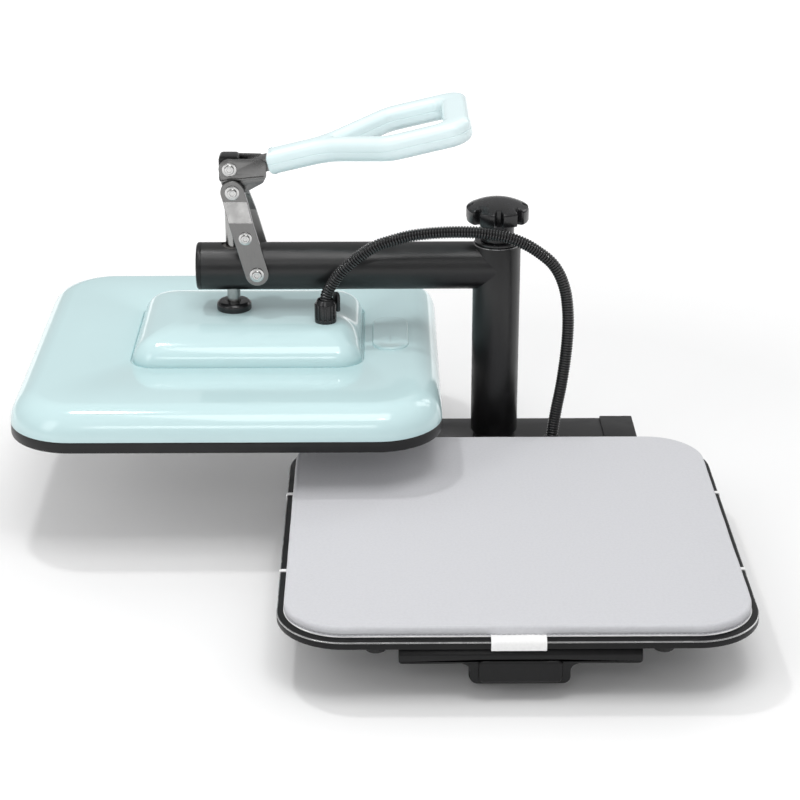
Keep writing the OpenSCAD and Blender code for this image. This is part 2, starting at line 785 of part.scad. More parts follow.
module power_inlet() {
    flange = 3;
    color(black) translate([inlet_x, beam_back, socket_z]) {
        difference() {
            union() {
                translate([-inlet_w / 2 - flange, 0, -inlet_h / 2 - flange])
                    cube([inlet_w + 2 * flange, bezel_t, inlet_h + 2 * flange]);
                translate([-inlet_w / 2, -inlet_deep, -inlet_h / 2])
                    cube([inlet_w, inlet_deep + eps, inlet_h]);
            }
            translate([-inlet_w / 2 + inlet_wall, -inlet_deep + inlet_wall, -inlet_h / 2 + inlet_wall])
                cube([inlet_w - 2 * inlet_wall, 2 * inlet_deep, inlet_h - 2 * inlet_wall]);
        }
        for (p = [[-7, -3], [0, 3], [7, -3]]) translate([p[0] - 1, -inlet_deep + eps / 2, p[1] - 2])
            cube([2, 12, 4]);
    }
}

module switch_bezel() {
    inside_h = 2 * rocker_r + 0.8;
    inside_w = rocker_w + 0.8;
    deep = 2 * rocker_r + 3;
    color(black) translate([switch_x, beam_back, socket_z]) difference() {
        union() {
            translate([-bezel_w / 2, 0, -bezel_h / 2]) cube([bezel_w, bezel_t, bezel_h]);
            translate([-bezel_w / 2 + 2.2, -deep, -bezel_h / 2 + 2.2])
                cube([bezel_w - 4.4, deep + eps, bezel_h - 4.4]);
        }
        translate([-inside_w / 2, -deep + 1.2, -inside_h / 2]) cube([inside_w, 2 * deep, inside_h]);
        translate([0, bezel_t - rocker_r + 0.5, 0]) rotate([0, 90, 0])
            cylinder(d = 3 + 2 * run_gap, h = rocker_w + 3, center = true);
    }
}

module switch_rocker() {
    color([0.65, 0.08, 0.07]) translate([switch_x, beam_back + bezel_t - rocker_r + 0.5, socket_z])
        rotate([rocker_tilt, 0, 0]) rotate([0, 90, 0]) union() {
            difference() {
                cylinder(r = rocker_r, h = rocker_w, center = true);
                linear_extrude(2 * rocker_w, center = true)
                    polygon([[0, 4.4], [8, 6.8], [8, 12], [-8, 12], [-8, 6.8]]);
            }
            cylinder(d = 3, h = rocker_w + 2.4, center = true);
        }
}

// Arm

module column_sleeve() {
    color(black) translate([0, 0, sleeve_z]) difference() {
        cylinder(d = tube_od, h = sleeve_top - sleeve_z);
        translate([0, 0, -eps]) cylinder(d = sleeve_bore, h = sleeve_top);
    }
}

module bush(z) {
    color([0.16, 0.15, 0.14]) translate([0, 0, z]) difference() {
        cylinder(d = sleeve_bore - 2 * fix_gap, h = bush_len);
        translate([0, 0, -eps]) cylinder(d = post_od + 2 * run_gap, h = bush_len + 2 * eps);
    }
}

module lower_bush() bush(sleeve_z);

module upper_bush() bush(sleeve_top - bush_len);

module arm_tube() {
    arm_end = arm_reach + arm_beyond;
    color(black) difference() {
        translate([0, 0, arm_z]) rotate([0, -90, 0]) cylinder(d = tube_od, h = arm_end);
        translate([0, 0, arm_z]) rotate([0, -90, 0]) cylinder(d = sleeve_bore, h = arm_end + eps);
        cylinder(d = tube_od + 0.1, h = 2 * arm_z);
        at_plunger() cylinder(d = guide_od + 2 * run_gap, h = 2 * arm_z);
        translate([-arm_reach + pivot_dx, 0, arm_z]) rod_y(pin_d + 0.2, -tube_od, tube_od);
    }
}

module arm_end_plug() {
    color(black) translate([-arm_reach - arm_beyond, 0, arm_z]) rotate([0, 90, 0]) {
        translate([0, 0, -plug_t]) cylinder(d1 = tube_od - 3, d2 = tube_od, h = 1.5);
        translate([0, 0, 1.5 - plug_t]) cylinder(d = tube_od, h = plug_t - 1.5);
        translate([0, 0, -eps]) cylinder(d = sleeve_bore - 2 * fix_gap, h = plug_len + eps);
    }
}

module plunger_guide() {
    half = sqrt(pow(tube_od / 2, 2) - pow(guide_od / 2, 2));
    color([0.16, 0.15, 0.14]) at_plunger() translate([0, 0, arm_z - half]) difference() {
        cylinder(d = guide_od, h = 2 * half);
        translate([0, 0, -eps]) cylinder(d = rod_d + 2 * run_gap, h = 2 * half + 2 * eps);
    }
}

module strap_pivot_bolt() {
    seat = strap_low_in + strap_t + pass_gap;
    color(steel) translate([-arm_reach + pivot_dx, 0, arm_z]) {
        rod_y(pin_d, -seat - eps, seat + eps);
        for (s = [-1, 1]) scale([1, s, 1]) translate([0, seat, 0]) bolt_head(bolt_head_d, bolt_head_t);
    }
}

// Straps

// A place on the strap's centre line, from 0 at the lower pivot to 1 at the upper pin
module on_strap(share) {
    translate([-arm_reach + pivot_dx + share * (lower_pin_dx - pivot_dx), 0, arm_z + share * upper_pin_h])
        children();
}

module strap_outline() {
    lean = atan2(pivot_dx - lower_pin_dx, upper_pin_h);
    translate([-arm_reach + pivot_dx, arm_z]) rotate(lean) {
        translate([-strap_w / 2, 0]) square([strap_w, strap_len]);
        circle(d = strap_w);
        translate([0, strap_len]) circle(d = strap_w);
    }
}

// One strap: it lies outside the arm tube at its foot and close to the cheeks at its top
module strap(side) {
    low = arm_z - strap_w;
    high = arm_z + upper_pin_h + strap_w;
    z0 = arm_z + joggle_low;
    z1 = arm_z + joggle_high;
    color(steel) scale([1, side, 1]) difference() {
        intersection() {
            plate_y(0, tube_od) strap_outline();
            translate([-arm_reach - tube_od, 0, 0]) rotate([90, 0, 90]) linear_extrude(2 * tube_od) polygon([
                [strap_low_in, low], [strap_low_in + strap_t, low], [strap_low_in + strap_t, z0 + 2],
                [strap_top_in + strap_t, z1 + 2], [strap_top_in + strap_t, high], [strap_top_in, high],
                [strap_top_in, z1], [strap_low_in, z0]]);
        }
        on_strap(0) rod_y(pin_d + 2 * run_gap, 0, tube_od);
        on_strap(tie_share) rod_y(tie_d + 2 * fix_gap, 0, tube_od);
        on_strap(1) rod_y(pin_d + 2 * fix_gap, 0, tube_od);
    }
}

module front_strap() strap(-1);

module rear_strap() strap(1);

module strap_tie_bolt() {
    seat = strap_low_in + strap_t;
    color(steel) on_strap(tie_share) {
        rod_y(tie_d, -seat - eps, seat + eps);
        for (s = [-1, 1]) scale([1, s, 1]) translate([0, seat, 0]) bolt_head(bolt_head_d - 1, bolt_head_t - 0.6);
    }
}

module strap_upper_bolts() {
    seat = strap_top_in + strap_t;
    color(steel) on_strap(1) for (s = [-1, 1]) scale([1, s, 1]) {
        rod_y(pin_d, strap_top_in, seat + eps);
        translate([0, seat, 0]) bolt_head(bolt_head_d, bolt_head_t);
    }
}

// Lever and handle, placed from the lever's pin

module cheek_outline() {
    difference() {
        union() {
            circle(r = 10);
            translate([lower_pin_dx, -lever_drop]) circle(r = 9);
            polygon([[-2, 9.8], [28, 9], [34, 6], [34, -7], [31, -13], [lower_pin_dx + 8, -lever_drop - 4],
                     [lower_pin_dx - 9, -lever_drop], [-10, 0]]);
        }
        circle(d = pin_d + 2 * fix_gap);
        translate([lower_pin_dx, -lever_drop]) circle(d = pin_d + 0.4);
    }
}

module handle_cheeks() {
    color(steel) at_lever() for (s = [-1, 1]) scale([1, s, 1]) {
        plate_y(cheek_in, cheek_out) cheek_outline();
        plate_y(cheek_out - 0.2, cheek_out + rib_t)
            polygon([[-7.6, -12.5], [32, -8.5], [32, -6.3], [-8, -10.3]]);
    }
}

// The handle's own line, risen from the pin and tilted
module along_handle() {
    at_lever() translate([0, 0, handle_rise]) rotate([0, -handle_lift, 0]) children();
}

module handle_tang() {
    color(steel) along_handle()
        span([tang_in, -cheek_in, -tang_h / 2], [tang_out, cheek_in, tang_h / 2]);
}

fork_at = 60;
rail_at = 116;

module grip_ball(u, v, d) {
    translate([handle_root + u, v, 0]) sphere(d = d, $fn = 20);
}

module handle_grip() {
    half = rail_spacing / 2;
    bar_d = rail_d + 3;
    tip = handle_len - bar_d / 2;
    slot_gap = 0.15;
    color(mint) along_handle() difference() {
        union() {
            hull() {
                translate([handle_root, 0, 0]) rotate([0, 90, 0]) cylinder(d = neck_d, h = 4, $fn = 20);
                grip_ball(fork_at, 0, neck_d);
            }
            for (s = [-1, 1]) {
                hull() {
                    grip_ball(fork_at - 4, s * 4, neck_d - 2);
                    grip_ball(rail_at, s * half, rail_d);
                }
                hull() {
                    grip_ball(rail_at, s * half, rail_d);
                    grip_ball(tip, s * half, rail_d + 1);
                }
            }
            hull() {
                grip_ball(tip, -half, bar_d);
                grip_ball(tip, half, bar_d);
            }
        }
        span([0, -cheek_in - slot_gap, -tang_h / 2 - slot_gap],
             [tang_out + slot_gap, cheek_in + slot_gap, tang_h / 2 + slot_gap]);
    }
}

module lever_pin() {
    color(steel) at_lever() {
        rod_y(pin_d, -cheek_out - eps, cheek_out + eps);
        for (s = [-1, 1]) scale([1, s, 1]) translate([0, cheek_out, 0]) bolt_head(bolt_head_d, pin_head_t);
    }
}

// Head

eye_drop = 14;

module rod_eye() {
    corner_r = 4;
    eye_w = 19;
    eye_up = 12;
    color(black) at_lever() difference() {
        plate_y(-eye_half, eye_half) translate([-0.5, (eye_up - eye_drop) / 2])
            rounded_square(eye_w, eye_up + eye_drop, corner_r);
        rod_y(pin_d + 2 * run_gap, -2 * eye_half, 2 * eye_half);
    }
}

module plunger_rod() {
    color(steel) at_plunger() translate([0, 0, mount_z + mount_t])
        cylinder(d = rod_d, h = lever_z - eye_drop - mount_z - mount_t);
}

module plunger_collar() {
    bevel = 2.5;
    color(black) at_plunger() translate([0, 0, inner_top]) difference() {
        union() {
            cylinder(d = collar_d, h = collar_h - bevel);
            translate([0, 0, collar_h - bevel]) cylinder(d1 = collar_d, d2 = collar_d - 2 * bevel, h = bevel);
        }
        translate([0, 0, -eps]) cylinder(d = rod_d + 2 * fix_gap, h = collar_h + 2 * eps);
    }
}

module at_inner() {
    translate([-arm_reach + inner_shift, 0, 0]) children();
}

module head_cover() {
    w = head_size;
    inside = w - 2 * cover_wall;
    color(mint) difference() {
        at_plunger() difference() {
            dome(w, w, head_corner_r, cover_round, cover_h, cover_z, 0);
            dome(inside, inside, head_corner_r - cover_wall, cover_round - cover_wall,
                 cover_h - cover_wall, cover_z, eps);
        }
        at_inner() translate([0, 0, cover_z]) slab(inner_w + 2 * seam, inner_d + 2 * seam, inner_corner_r, 2 * cover_h);
    }
}

module inner_cover() {
    wall = cover_wall;
    flange_w = inner_w + 2 * inner_flange;
    flange_d = inner_d + 2 * inner_flange;
    flange_top = cover_top - cover_wall;
    color(mint) difference() {
        union() {
            at_inner() {
                translate([0, 0, skirt_z]) slab(flange_w, flange_d, inner_corner_r + inner_flange, flange_top - skirt_z);
                dome(inner_w, inner_d, inner_corner_r, inner_round, inner_h, cover_top, cover_top - skirt_z);
            }
            translate([gland_x, gland_y, cover_top]) cylinder(d = gland_seat_d, h = inner_h);
        }
        at_inner() dome(inner_w - 2 * wall, inner_d - 2 * wall, inner_corner_r - wall, inner_round - wall,
                        inner_h - wall, cover_top, cover_top - skirt_z + eps);
        at_plunger() cylinder(d = rod_d + 2, h = 2 * inner_top);
        translate([gland_x, gland_y, 0]) cylinder(d = gland_hole, h = 2 * inner_top);
    }
}

module cover_tab() {
    edge = 1.6;
    dish_deep = 0.7 * tab_h;
    dish_r = (pow(dish_d / 2, 2) + pow(dish_deep, 2)) / (2 * dish_deep);
    color(mint) at_plunger() translate([tab_x, 0, 0]) difference() {
        dome(tab_w, tab_len, tab_w / 2 - 0.5, edge, tab_h, cover_top, 0, 3, 4);
        translate([0, -(tab_len - tab_w) / 2, cover_top + tab_h - dish_deep + dish_r]) sphere(dish_r);
    }
}

module platen_rim() {
    w = head_size;
    inside = w - 2 * rim_wall;
    lip = inside - 2 * rim_lip_w;
    lip_z = hot_top + 0.2;
    color(black) at_plunger() difference() {
        union() {
            translate([0, 0, head_z]) slab(w, w, head_corner_r, rim_h);
            translate([0, 0, lip_z]) slab(inside, inside, head_corner_r - rim_wall, rim_lip_t);
        }
        translate([0, 0, head_z - eps]) slab(inside, inside, head_corner_r - rim_wall, lip_z - head_z + eps);
        translate([0, 0, head_z]) slab(lip, lip, head_corner_r - rim_wall - rim_lip_w, 2 * rim_h);
    }
}

module heat_platen() {
    color([0.62, 0.62, 0.62]) at_plunger() translate([0, 0, head_z])
        slab(hot_size, hot_size, hot_r, heat_platen_t);
}

// A tube bent back and forth over the heat platen
module heating_element() {
    half = element_len / 2 - element_pitch / 2;
    row = function (i) (i - (element_runs - 1) / 2) * element_pitch;
    color([0.35, 0.34, 0.33]) at_plunger() translate([0, 0, hot_top + element_d / 2]) {
        for (i = [0:element_runs - 1]) translate([-half, row(i), 0]) rotate([0, 90, 0])
            cylinder(d = element_d, h = 2 * half);
        for (i = [0:element_runs - 2]) translate([(i % 2 == 0 ? 1 : -1) * half, row(i) + element_pitch / 2, 0])
            rotate(i % 2 == 0 ? -90 : 90) rotate_extrude(angle = 180)
                translate([element_pitch / 2, 0]) circle(d = element_d);
    }
}

module pillars_at() {
    for (sx = [-1, 1], sy = [-1, 1]) translate([sx * pillar_dx, sy * pillar_dy, 0]) children();
}

thermo_x = 30;
thermo_d = 18;

module insulation_board() {
    size = head_size - 2 * (cover_round + 4);
    color([0.86, 0.84, 0.78]) at_plunger() translate([0, 0, board_z]) difference() {
        slab(size, size, hot_r - cover_round, board_t);
        pillars_at() translate([0, 0, -eps]) cylinder(d = pillar_d + 0.4, h = board_t + 2 * eps);
        translate([thermo_x, 0, -eps]) cylinder(d = thermo_d + 0.6, h = board_t + 2 * eps);
    }
}

module mount_plate() {
    color(steel) at_plunger() translate([0, 0, mount_z]) difference() {
        union() {
            slab(mount_w, mount_d, 12, mount_t);
            cylinder(d = hub_d, h = mount_t + hub_h);
        }
        translate([0, 0, mount_t]) cylinder(d = rod_d + 2 * fix_gap, h = hub_h + eps);
        pillars_at() translate([0, 0, -eps]) cylinder(d = bolt_hole, h = mount_t + 2 * eps);
    }
}

pillar_screw_deep = 8;

module platen_pillars() {
    color(steel) at_plunger() pillars_at() translate([0, 0, hot_top]) difference() {
        cylinder(d = pillar_d, h = mount_z - hot_top);
        translate([0, 0, mount_z - hot_top - pillar_screw_deep])
            cylinder(d = pillar_screw_d + 2 * run_gap, h = pillar_screw_deep + eps);
    }
}

module pillar_screws() {
    color(steel) at_plunger() pillars_at() translate([0, 0, mount_z + mount_t]) {
        difference() {
            cylinder(d = 10, h = 5);
            translate([0, 0, 2.5]) cylinder(d = 5.5, h = 5, $fn = 6);
        }
        translate([0, 0, -mount_t - pillar_screw_deep + 0.5])
            cylinder(d = pillar_screw_d, h = mount_t + pillar_screw_deep);
    }
}

module thermostat() {
    color([0.80, 0.78, 0.74]) at_plunger() translate([thermo_x, 0, hot_top]) {
        cylinder(d = thermo_d, h = 8);
        cylinder(d = thermo_d - 6, h = board_z + board_t - hot_top + 0.5);
    }
}

module control_board() {
    board_w = 46;
    board_l = 110;
    under = cover_top - cover_wall;
    post_h = 5;
    x = -head_size / 2 + cover_round + 2;
    color([0.10, 0.30, 0.16]) at_plunger() union() {
        span([x, -board_l / 2, under - post_h - 1.6], [x + board_w, board_l / 2, under - post_h]);
        for (px = [x + 5, x + board_w - 5], py = [-board_l / 2 + 5, board_l / 2 - 5])
            translate([px, py, under - post_h - 0.5]) cylinder(d = 5, h = post_h + 0.5);
        span([x + 12, -20, under - post_h - 0.5], [x + 34, 20, under - 1]);
    }
}

module at_gland() {
    translate([gland_x, gland_y, inner_top]) children();
}

module hose_gland() {
    foot_h = 4;
    neck_h = 4;
    ribs = 14;
    rib_w = 2.2;
    rib_in = 1.8;
    core_d = gland_d - 1.6;
    body_h = gland_h - foot_h - neck_h;
    color(black) at_gland() difference() {
        union() {
            cylinder(d = gland_d, h = foot_h);
            translate([0, 0, foot_h - 0.1]) cylinder(d = core_d, h = body_h + 0.2);
            for (i = [0:ribs - 1]) rotate(360 * i / ribs)
                translate([gland_d / 2 - rib_in, -rib_w / 2, foot_h - 0.1]) cube([rib_in, rib_w, body_h]);
            translate([0, 0, foot_h + body_h]) cylinder(d1 = core_d, d2 = hose_passage + 3, h = neck_h);
        }
        translate([0, 0, -eps]) cylinder(d = hose_passage, h = gland_h + 2 * eps);
    }
}

module gland_latch() {
    reach = gland_d / 2 + pass_gap;
    latch_t = 3.5;
    latch_w = 9;
    low = 8;
    high = 22;
    color(black) at_gland() rotate(latch_turn) {
        span([reach, -latch_w / 2, low], [reach + latch_t, latch_w / 2, high]);
        translate([reach, 0, high]) rotate([0, 90, 0]) cylinder(d = latch_w, h = latch_t);
    }
}

// Knob

module star_knob() {
    lobe_d = 14;
    core_d = knob_d - lobe_d;
    lobe_z = knob_z + knob_neck_h;
    blind = knob_neck_h + knob_lobe_h - 4;
    crown_r = core_d / 2 - 1.5;
    color(black) difference() {
        union() {
            translate([0, 0, knob_z]) cylinder(d = knob_neck_d, h = knob_neck_h + 1);
            translate([0, 0, lobe_z]) linear_extrude(knob_lobe_h) {
                circle(d = core_d);
                for (i = [0:knob_lobes - 1]) rotate(360 * (i + 0.5) / knob_lobes)
                    translate([core_d / 2, 0]) circle(d = lobe_d);
            }
            translate([0, 0, lobe_z + knob_lobe_h]) rotate_extrude() polygon([
                [0, -1], [crown_r, -1], [crown_r, 0.6], [crown_r - 2, 2.6], [crown_r - 7, 5.2],
                [crown_r - 13, 7], [0, 7.6]]);
        }
        translate([0, 0, knob_z - eps]) cylinder(d = stud_d + 2 * fix_gap, h = blind + eps);
    }
}

module knob_stud() {
    low = post_top - insert_len + 8;
    high = knob_z + knob_neck_h + knob_lobe_h - 4;
    color(steel) translate([0, 0, low]) cylinder(d = stud_d, h = high - low);
}

module knob_washer() {
    color(steel) translate([0, 0, knob_washer_z]) difference() {
        cylinder(d = knob_washer_d, h = knob_washer_t);
        translate([0, 0, -eps]) cylinder(d = stud_d + 2 * run_gap, h = knob_washer_t + 2 * eps);
    }
}

rear_beam();
beam_end_caps();
beam_bottom_covers();
base_spine();
spine_front_cap();
front_bracket();
rear_bracket();
lower_platen();
platen_screws();
platen_bumpers();
press_pad();
pad_loops();
pad_tag();
foot_pads();
swivel_post();
post_bolts();
post_insert();
swing_washer();
hose_base_gland();
hose();
power_board();
power_inlet();
switch_bezel();
switch_rocker();
column_sleeve();
lower_bush();
upper_bush();
arm_tube();
arm_end_plug();
plunger_guide();
strap_pivot_bolt();
front_strap();
rear_strap();
strap_tie_bolt();
strap_upper_bolts();
handle_cheeks();
handle_tang();
handle_grip();
lever_pin();
rod_eye();
plunger_rod();
plunger_collar();
head_cover();
inner_cover();
cover_tab();
platen_rim();
heat_platen();
heating_element();
insulation_board();
mount_plate();
platen_pillars();
pillar_screws();
thermostat();
control_board();
hose_gland();
gland_latch();
star_knob();
knob_stud();
knob_washer();
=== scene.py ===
"""Looks of the swing-away heat press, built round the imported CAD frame. Sizes are in millimetres until MM."""
import json
import math

import bmesh
import bpy
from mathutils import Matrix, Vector, noise


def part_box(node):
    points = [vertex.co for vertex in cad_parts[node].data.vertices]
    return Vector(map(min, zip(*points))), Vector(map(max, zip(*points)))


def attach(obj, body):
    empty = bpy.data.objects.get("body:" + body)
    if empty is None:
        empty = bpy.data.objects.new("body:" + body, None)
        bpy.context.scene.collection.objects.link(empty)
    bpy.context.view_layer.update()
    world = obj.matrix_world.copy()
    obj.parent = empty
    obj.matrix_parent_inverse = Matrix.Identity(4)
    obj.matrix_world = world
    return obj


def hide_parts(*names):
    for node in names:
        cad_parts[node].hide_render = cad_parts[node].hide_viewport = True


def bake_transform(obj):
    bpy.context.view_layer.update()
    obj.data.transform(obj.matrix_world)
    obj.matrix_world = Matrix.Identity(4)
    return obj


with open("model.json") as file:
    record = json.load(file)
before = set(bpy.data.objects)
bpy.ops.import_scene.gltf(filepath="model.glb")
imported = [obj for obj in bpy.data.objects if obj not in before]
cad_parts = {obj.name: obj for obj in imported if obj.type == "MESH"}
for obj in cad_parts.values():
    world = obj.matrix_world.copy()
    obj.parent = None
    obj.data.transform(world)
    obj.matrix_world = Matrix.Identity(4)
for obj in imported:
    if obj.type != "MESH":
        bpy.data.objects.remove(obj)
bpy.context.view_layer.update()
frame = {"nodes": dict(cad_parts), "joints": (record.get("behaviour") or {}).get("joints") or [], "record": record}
nodes = frame["nodes"]
joints = {j["name"]: j for j in frame["joints"]}
body_of_node = {n: b for b, ns in frame["record"]["behaviour"]["bodies"].items() for n in ns}
slot_of_node = {s["node"]: s["material_slot"] for s in frame["record"]["subparts"]}
MM = 0.001


def box_mm(node):
    low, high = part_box(node)
    return low / MM, high / MM


# Camera

LENS_MM = 96.85
SENSOR_MM = 36
CAMERA_AT = (-0.10994, -1.93586, 0.88407)
PITCH_DEG = 22.53
TURN_DEG = -0.54
camera_data = bpy.data.cameras.new("camera")
camera_data.lens = LENS_MM
camera_data.sensor_width = SENSOR_MM
camera = bpy.data.objects.new("camera", camera_data)
camera.location = CAMERA_AT
camera.rotation_euler = (math.radians(90 - PITCH_DEG), 0, math.radians(TURN_DEG))
bpy.context.scene.collection.objects.link(camera)
bpy.context.scene.camera = camera
bpy.context.scene.view_settings.view_transform = "Standard"


# Material helpers

def new_material(name):
    mat = bpy.data.materials.new(name)
    mat.use_nodes = True
    tree = mat.node_tree
    shader = tree.nodes["Principled BSDF"]
    return mat, tree, shader


def add_node(tree, kind, **inputs):
    node = tree.nodes.new(kind)
    for key, value in inputs.items():
        node.inputs[key.replace("_", " ")].default_value = value
    return node


def place(tree, scale=(1, 1, 1), turn=(0, 0, 0)):
    """The piece's own coordinates in metres, turned and stretched."""
    coords = tree.nodes.new("ShaderNodeTexCoord")
    mapping = tree.nodes.new("ShaderNodeMapping")
    mapping.inputs["Scale"].default_value = scale
    mapping.inputs["Rotation"].default_value = turn
    tree.links.new(coords.outputs["Object"], mapping.inputs["Vector"])
    return mapping.outputs["Vector"]


def grain(tree, at, scale, detail=3.0, rough=0.55):
    tex = add_node(tree, "ShaderNodeTexNoise", Scale=scale, Detail=detail, Roughness=rough)
    tree.links.new(at, tex.inputs["Vector"])
    return tex.outputs["Fac"]


def spread(tree, value, low, high, start=0.3, end=0.7):
    node = add_node(tree, "ShaderNodeMapRange")
    for key, number in zip(("From Min", "From Max", "To Min", "To Max"), (start, end, low, high)):
        node.inputs[key].default_value = number
    tree.links.new(value, node.inputs["Value"])
    return node.outputs["Result"]


def tint(tree, value, low, high):
    ramp = tree.nodes.new("ShaderNodeValToRGB")
    ramp.color_ramp.elements[0].position = 0.3
    ramp.color_ramp.elements[1].position = 0.7
    ramp.color_ramp.elements[0].color = (*low, 1)
    ramp.color_ramp.elements[1].color = (*high, 1)
    tree.links.new(value, ramp.inputs["Fac"])
    return ramp.outputs["Color"]


def bump(tree, shader, height, strength, depth_mm):
    node = tree.nodes.new("ShaderNodeBump")
    node.inputs["Strength"].default_value = strength
    node.inputs["Distance"].default_value = depth_mm * MM
    tree.links.new(height, node.inputs["Height"])
    tree.links.new(node.outputs["Normal"], shader.inputs["Normal"])


def shade(colour, factor):
    return tuple(min(1.0, c * factor) for c in colour)


def coated(name, colour, rough, rough_span, vary, size, grain_scale, strength, depth_mm, metal=0.0, coat=0.0,
           gloss=0.5):
    """Paint, moulded plastic or plain metal: mottled colour and roughness, and a fine grain in relief."""
    mat, tree, shader = new_material(name)
    shader.inputs["Metallic"].default_value = metal
    shader.inputs["Specular IOR Level"].default_value = gloss
    shader.inputs["Coat Weight"].default_value = coat
    shader.inputs["Coat Roughness"].default_value = 0.04
    at = place(tree)
    broad = grain(tree, at, size)
    fine = grain(tree, at, grain_scale, 2.0)
    mottled = tint(tree, broad, shade(colour, 1 - vary), shade(colour, 1 + vary))
    tree.links.new(mottled, shader.inputs["Base Color"])
    tree.links.new(spread(tree, broad, rough - rough_span, rough + rough_span), shader.inputs["Roughness"])
    bump(tree, shader, fine, strength, depth_mm)
    return mat


def brushed(name, colour, rough, stretch, turn=(0, 0, 0)):
    """Rolled or brushed metal, with lines along the axis that the stretch leaves coarse, and faint smears."""
    mat, tree, shader = new_material(name)
    shader.inputs["Metallic"].default_value = 1.0
    lines = grain(tree, place(tree, stretch, turn), 1.0, 3.0, 0.5)
    smears = grain(tree, place(tree), 55, 3.0, 0.6)
    tree.links.new(tint(tree, lines, shade(colour, 0.94), shade(colour, 1.05)), shader.inputs["Base Color"])
    tree.links.new(spread(tree, smears, rough - 0.05, rough + 0.06), shader.inputs["Roughness"])
    bump(tree, shader, lines, 0.06, 0.03)
    return mat


def woven(name, colour, period_mm, vary, strength):
    """Cloth: two crossing sets of threads, with soft blotches in the colour."""
    mat, tree, shader = new_material(name)
    shader.inputs["Sheen Weight"].default_value = 0.25
    shader.inputs["Sheen Roughness"].default_value = 0.5
    at = place(tree)
    waves = []
    for axis in ("X", "Y"):
        wave = tree.nodes.new("ShaderNodeTexWave")
        wave.bands_direction = axis
        wave.inputs["Scale"].default_value = math.pi / (10 * period_mm * MM)
        wave.inputs["Distortion"].default_value = 0.6
        wave.inputs["Detail Scale"].default_value = 2.0
        tree.links.new(at, wave.inputs["Vector"])
        waves.append(wave.outputs["Fac"])
    both = tree.nodes.new("ShaderNodeMath")
    both.operation = "MULTIPLY"
    tree.links.new(waves[0], both.inputs[0])
    tree.links.new(waves[1], both.inputs[1])
    broad = grain(tree, at, 18, 5.0, 0.65)
    specks = grain(tree, at, 420, 2.0, 0.6)
    mix = tree.nodes.new("ShaderNodeMath")
    mix.operation = "MULTIPLY_ADD"
    mix.inputs[1].default_value = 0.3
    tree.links.new(both.outputs["Value"], mix.inputs[0])
    tree.links.new(specks, mix.inputs[2])
    tree.links.new(tint(tree, mix.outputs["Value"], shade(colour, 1 - vary), shade(colour, 1 + vary)),
                   shader.inputs["Base Color"])
    tree.links.new(spread(tree, broad, 0.78, 0.95), shader.inputs["Roughness"])
    bump(tree, shader, both.outputs["Value"], strength, 0.25)
    return mat


MINT = (0.575, 0.765, 0.78)
GRIP_MINT = (0.79, 0.935, 0.95)
mint = coated("mint_gloss", MINT, 0.13, 0.03, 0.012, 9, 900, 0.015, 0.05, coat=0.25)
mint_grip = coated("mint_grip", GRIP_MINT, 0.20, 0.04, 0.015, 14, 1400, 0.03, 0.05, coat=0.15)
powder = coated("black_powder_coat", (0.006, 0.006, 0.0065), 0.34, 0.05, 0.25, 60, 720, 0.45, 0.2, gloss=0.5)
plate_black = coated("plate_black", (0.007, 0.007, 0.0075), 0.42, 0.05, 0.25, 60, 900, 0.3, 0.14, gloss=0.22)
dull_black = coated("dull_black", (0.0085, 0.0085, 0.009), 0.36, 0.05, 0.25, 60, 900, 0.3, 0.12, gloss=0.25)
moulded = coated("black_moulded", (0.010, 0.010, 0.0105), 0.34, 0.06, 0.25, 45, 2200, 0.12, 0.06, gloss=0.3)
knob_black = coated("knob_black", (0.010, 0.010, 0.011), 0.26, 0.05, 0.2, 50, 1800, 0.08, 0.05)
rubber = coated("black_rubber", (0.018, 0.018, 0.018), 0.75, 0.08, 0.2, 70, 1600, 0.25, 0.1)
rim_black = coated("rim_black", (0.013, 0.013, 0.0135), 0.33, 0.05, 0.2, 30, 1800, 0.12, 0.06, gloss=0.3)
hose_black = coated("hose_black", (0.004, 0.004, 0.0045), 0.22, 0.03, 0.25, 40, 1500, 0.04, 0.03, coat=0.9,
                    gloss=0.2)
bush_grey = coated("bush_grey", (0.10, 0.095, 0.09), 0.5, 0.06, 0.1, 60, 1500, 0.1, 0.06)
red_gloss = coated("red_gloss", (0.42, 0.012, 0.012), 0.22, 0.04, 0.06, 80, 1500, 0.05, 0.04)
board_green = coated("board_green", (0.03, 0.16, 0.06), 0.4, 0.1, 0.2, 220, 1200, 0.2, 0.1)
board_fibre = coated("board_fibre", (0.60, 0.57, 0.50), 0.9, 0.05, 0.12, 120, 700, 0.6, 0.3)
bright = coated("bright_steel", (0.52, 0.52, 0.515), 0.18, 0.05, 0.06, 120, 1500, 0.05, 0.04, metal=1.0)
# Bare metal for the rounded edges that face up: partly wear, partly a painted highlight line along the top edges
wear_and_highlight_edge = coated("wear_and_highlight_edge", (0.42, 0.42, 0.42), 0.26, 0.05, 0.15, 90, 1500, 0.05, 0.04, metal=1.0)
rod_steel = coated("rod_steel", (0.33, 0.33, 0.325), 0.24, 0.05, 0.06, 90, 1500, 0.05, 0.04, metal=1.0)
dull_alloy = coated("cast_alloy", (0.55, 0.55, 0.55), 0.38, 0.07, 0.1, 40, 900, 0.12, 0.08, metal=1.0)
STRAP_LEAN = math.radians(15.8)
steel = brushed("strap_steel", (0.18, 0.179, 0.177), 0.22, (2600, 400, 60), (0, -STRAP_LEAN, 0))
# The rear strap is the same steel as the front one, painted lighter to stand for the light falling on it
lit_rear_steel = brushed("lit_rear_strap_steel", (0.50, 0.50, 0.495), 0.5, (2600, 400, 60), (0, -STRAP_LEAN, 0))
cheek_steel = brushed("cheek_steel", (0.18, 0.179, 0.177), 0.27, (60, 400, 2600))
pad_cloth = woven("pad_cloth", (0.60, 0.603, 0.628), 0.8, 0.03, 0.3)
thread = woven("grey_thread", (0.42, 0.42, 0.45), 0.5, 0.05, 0.3)
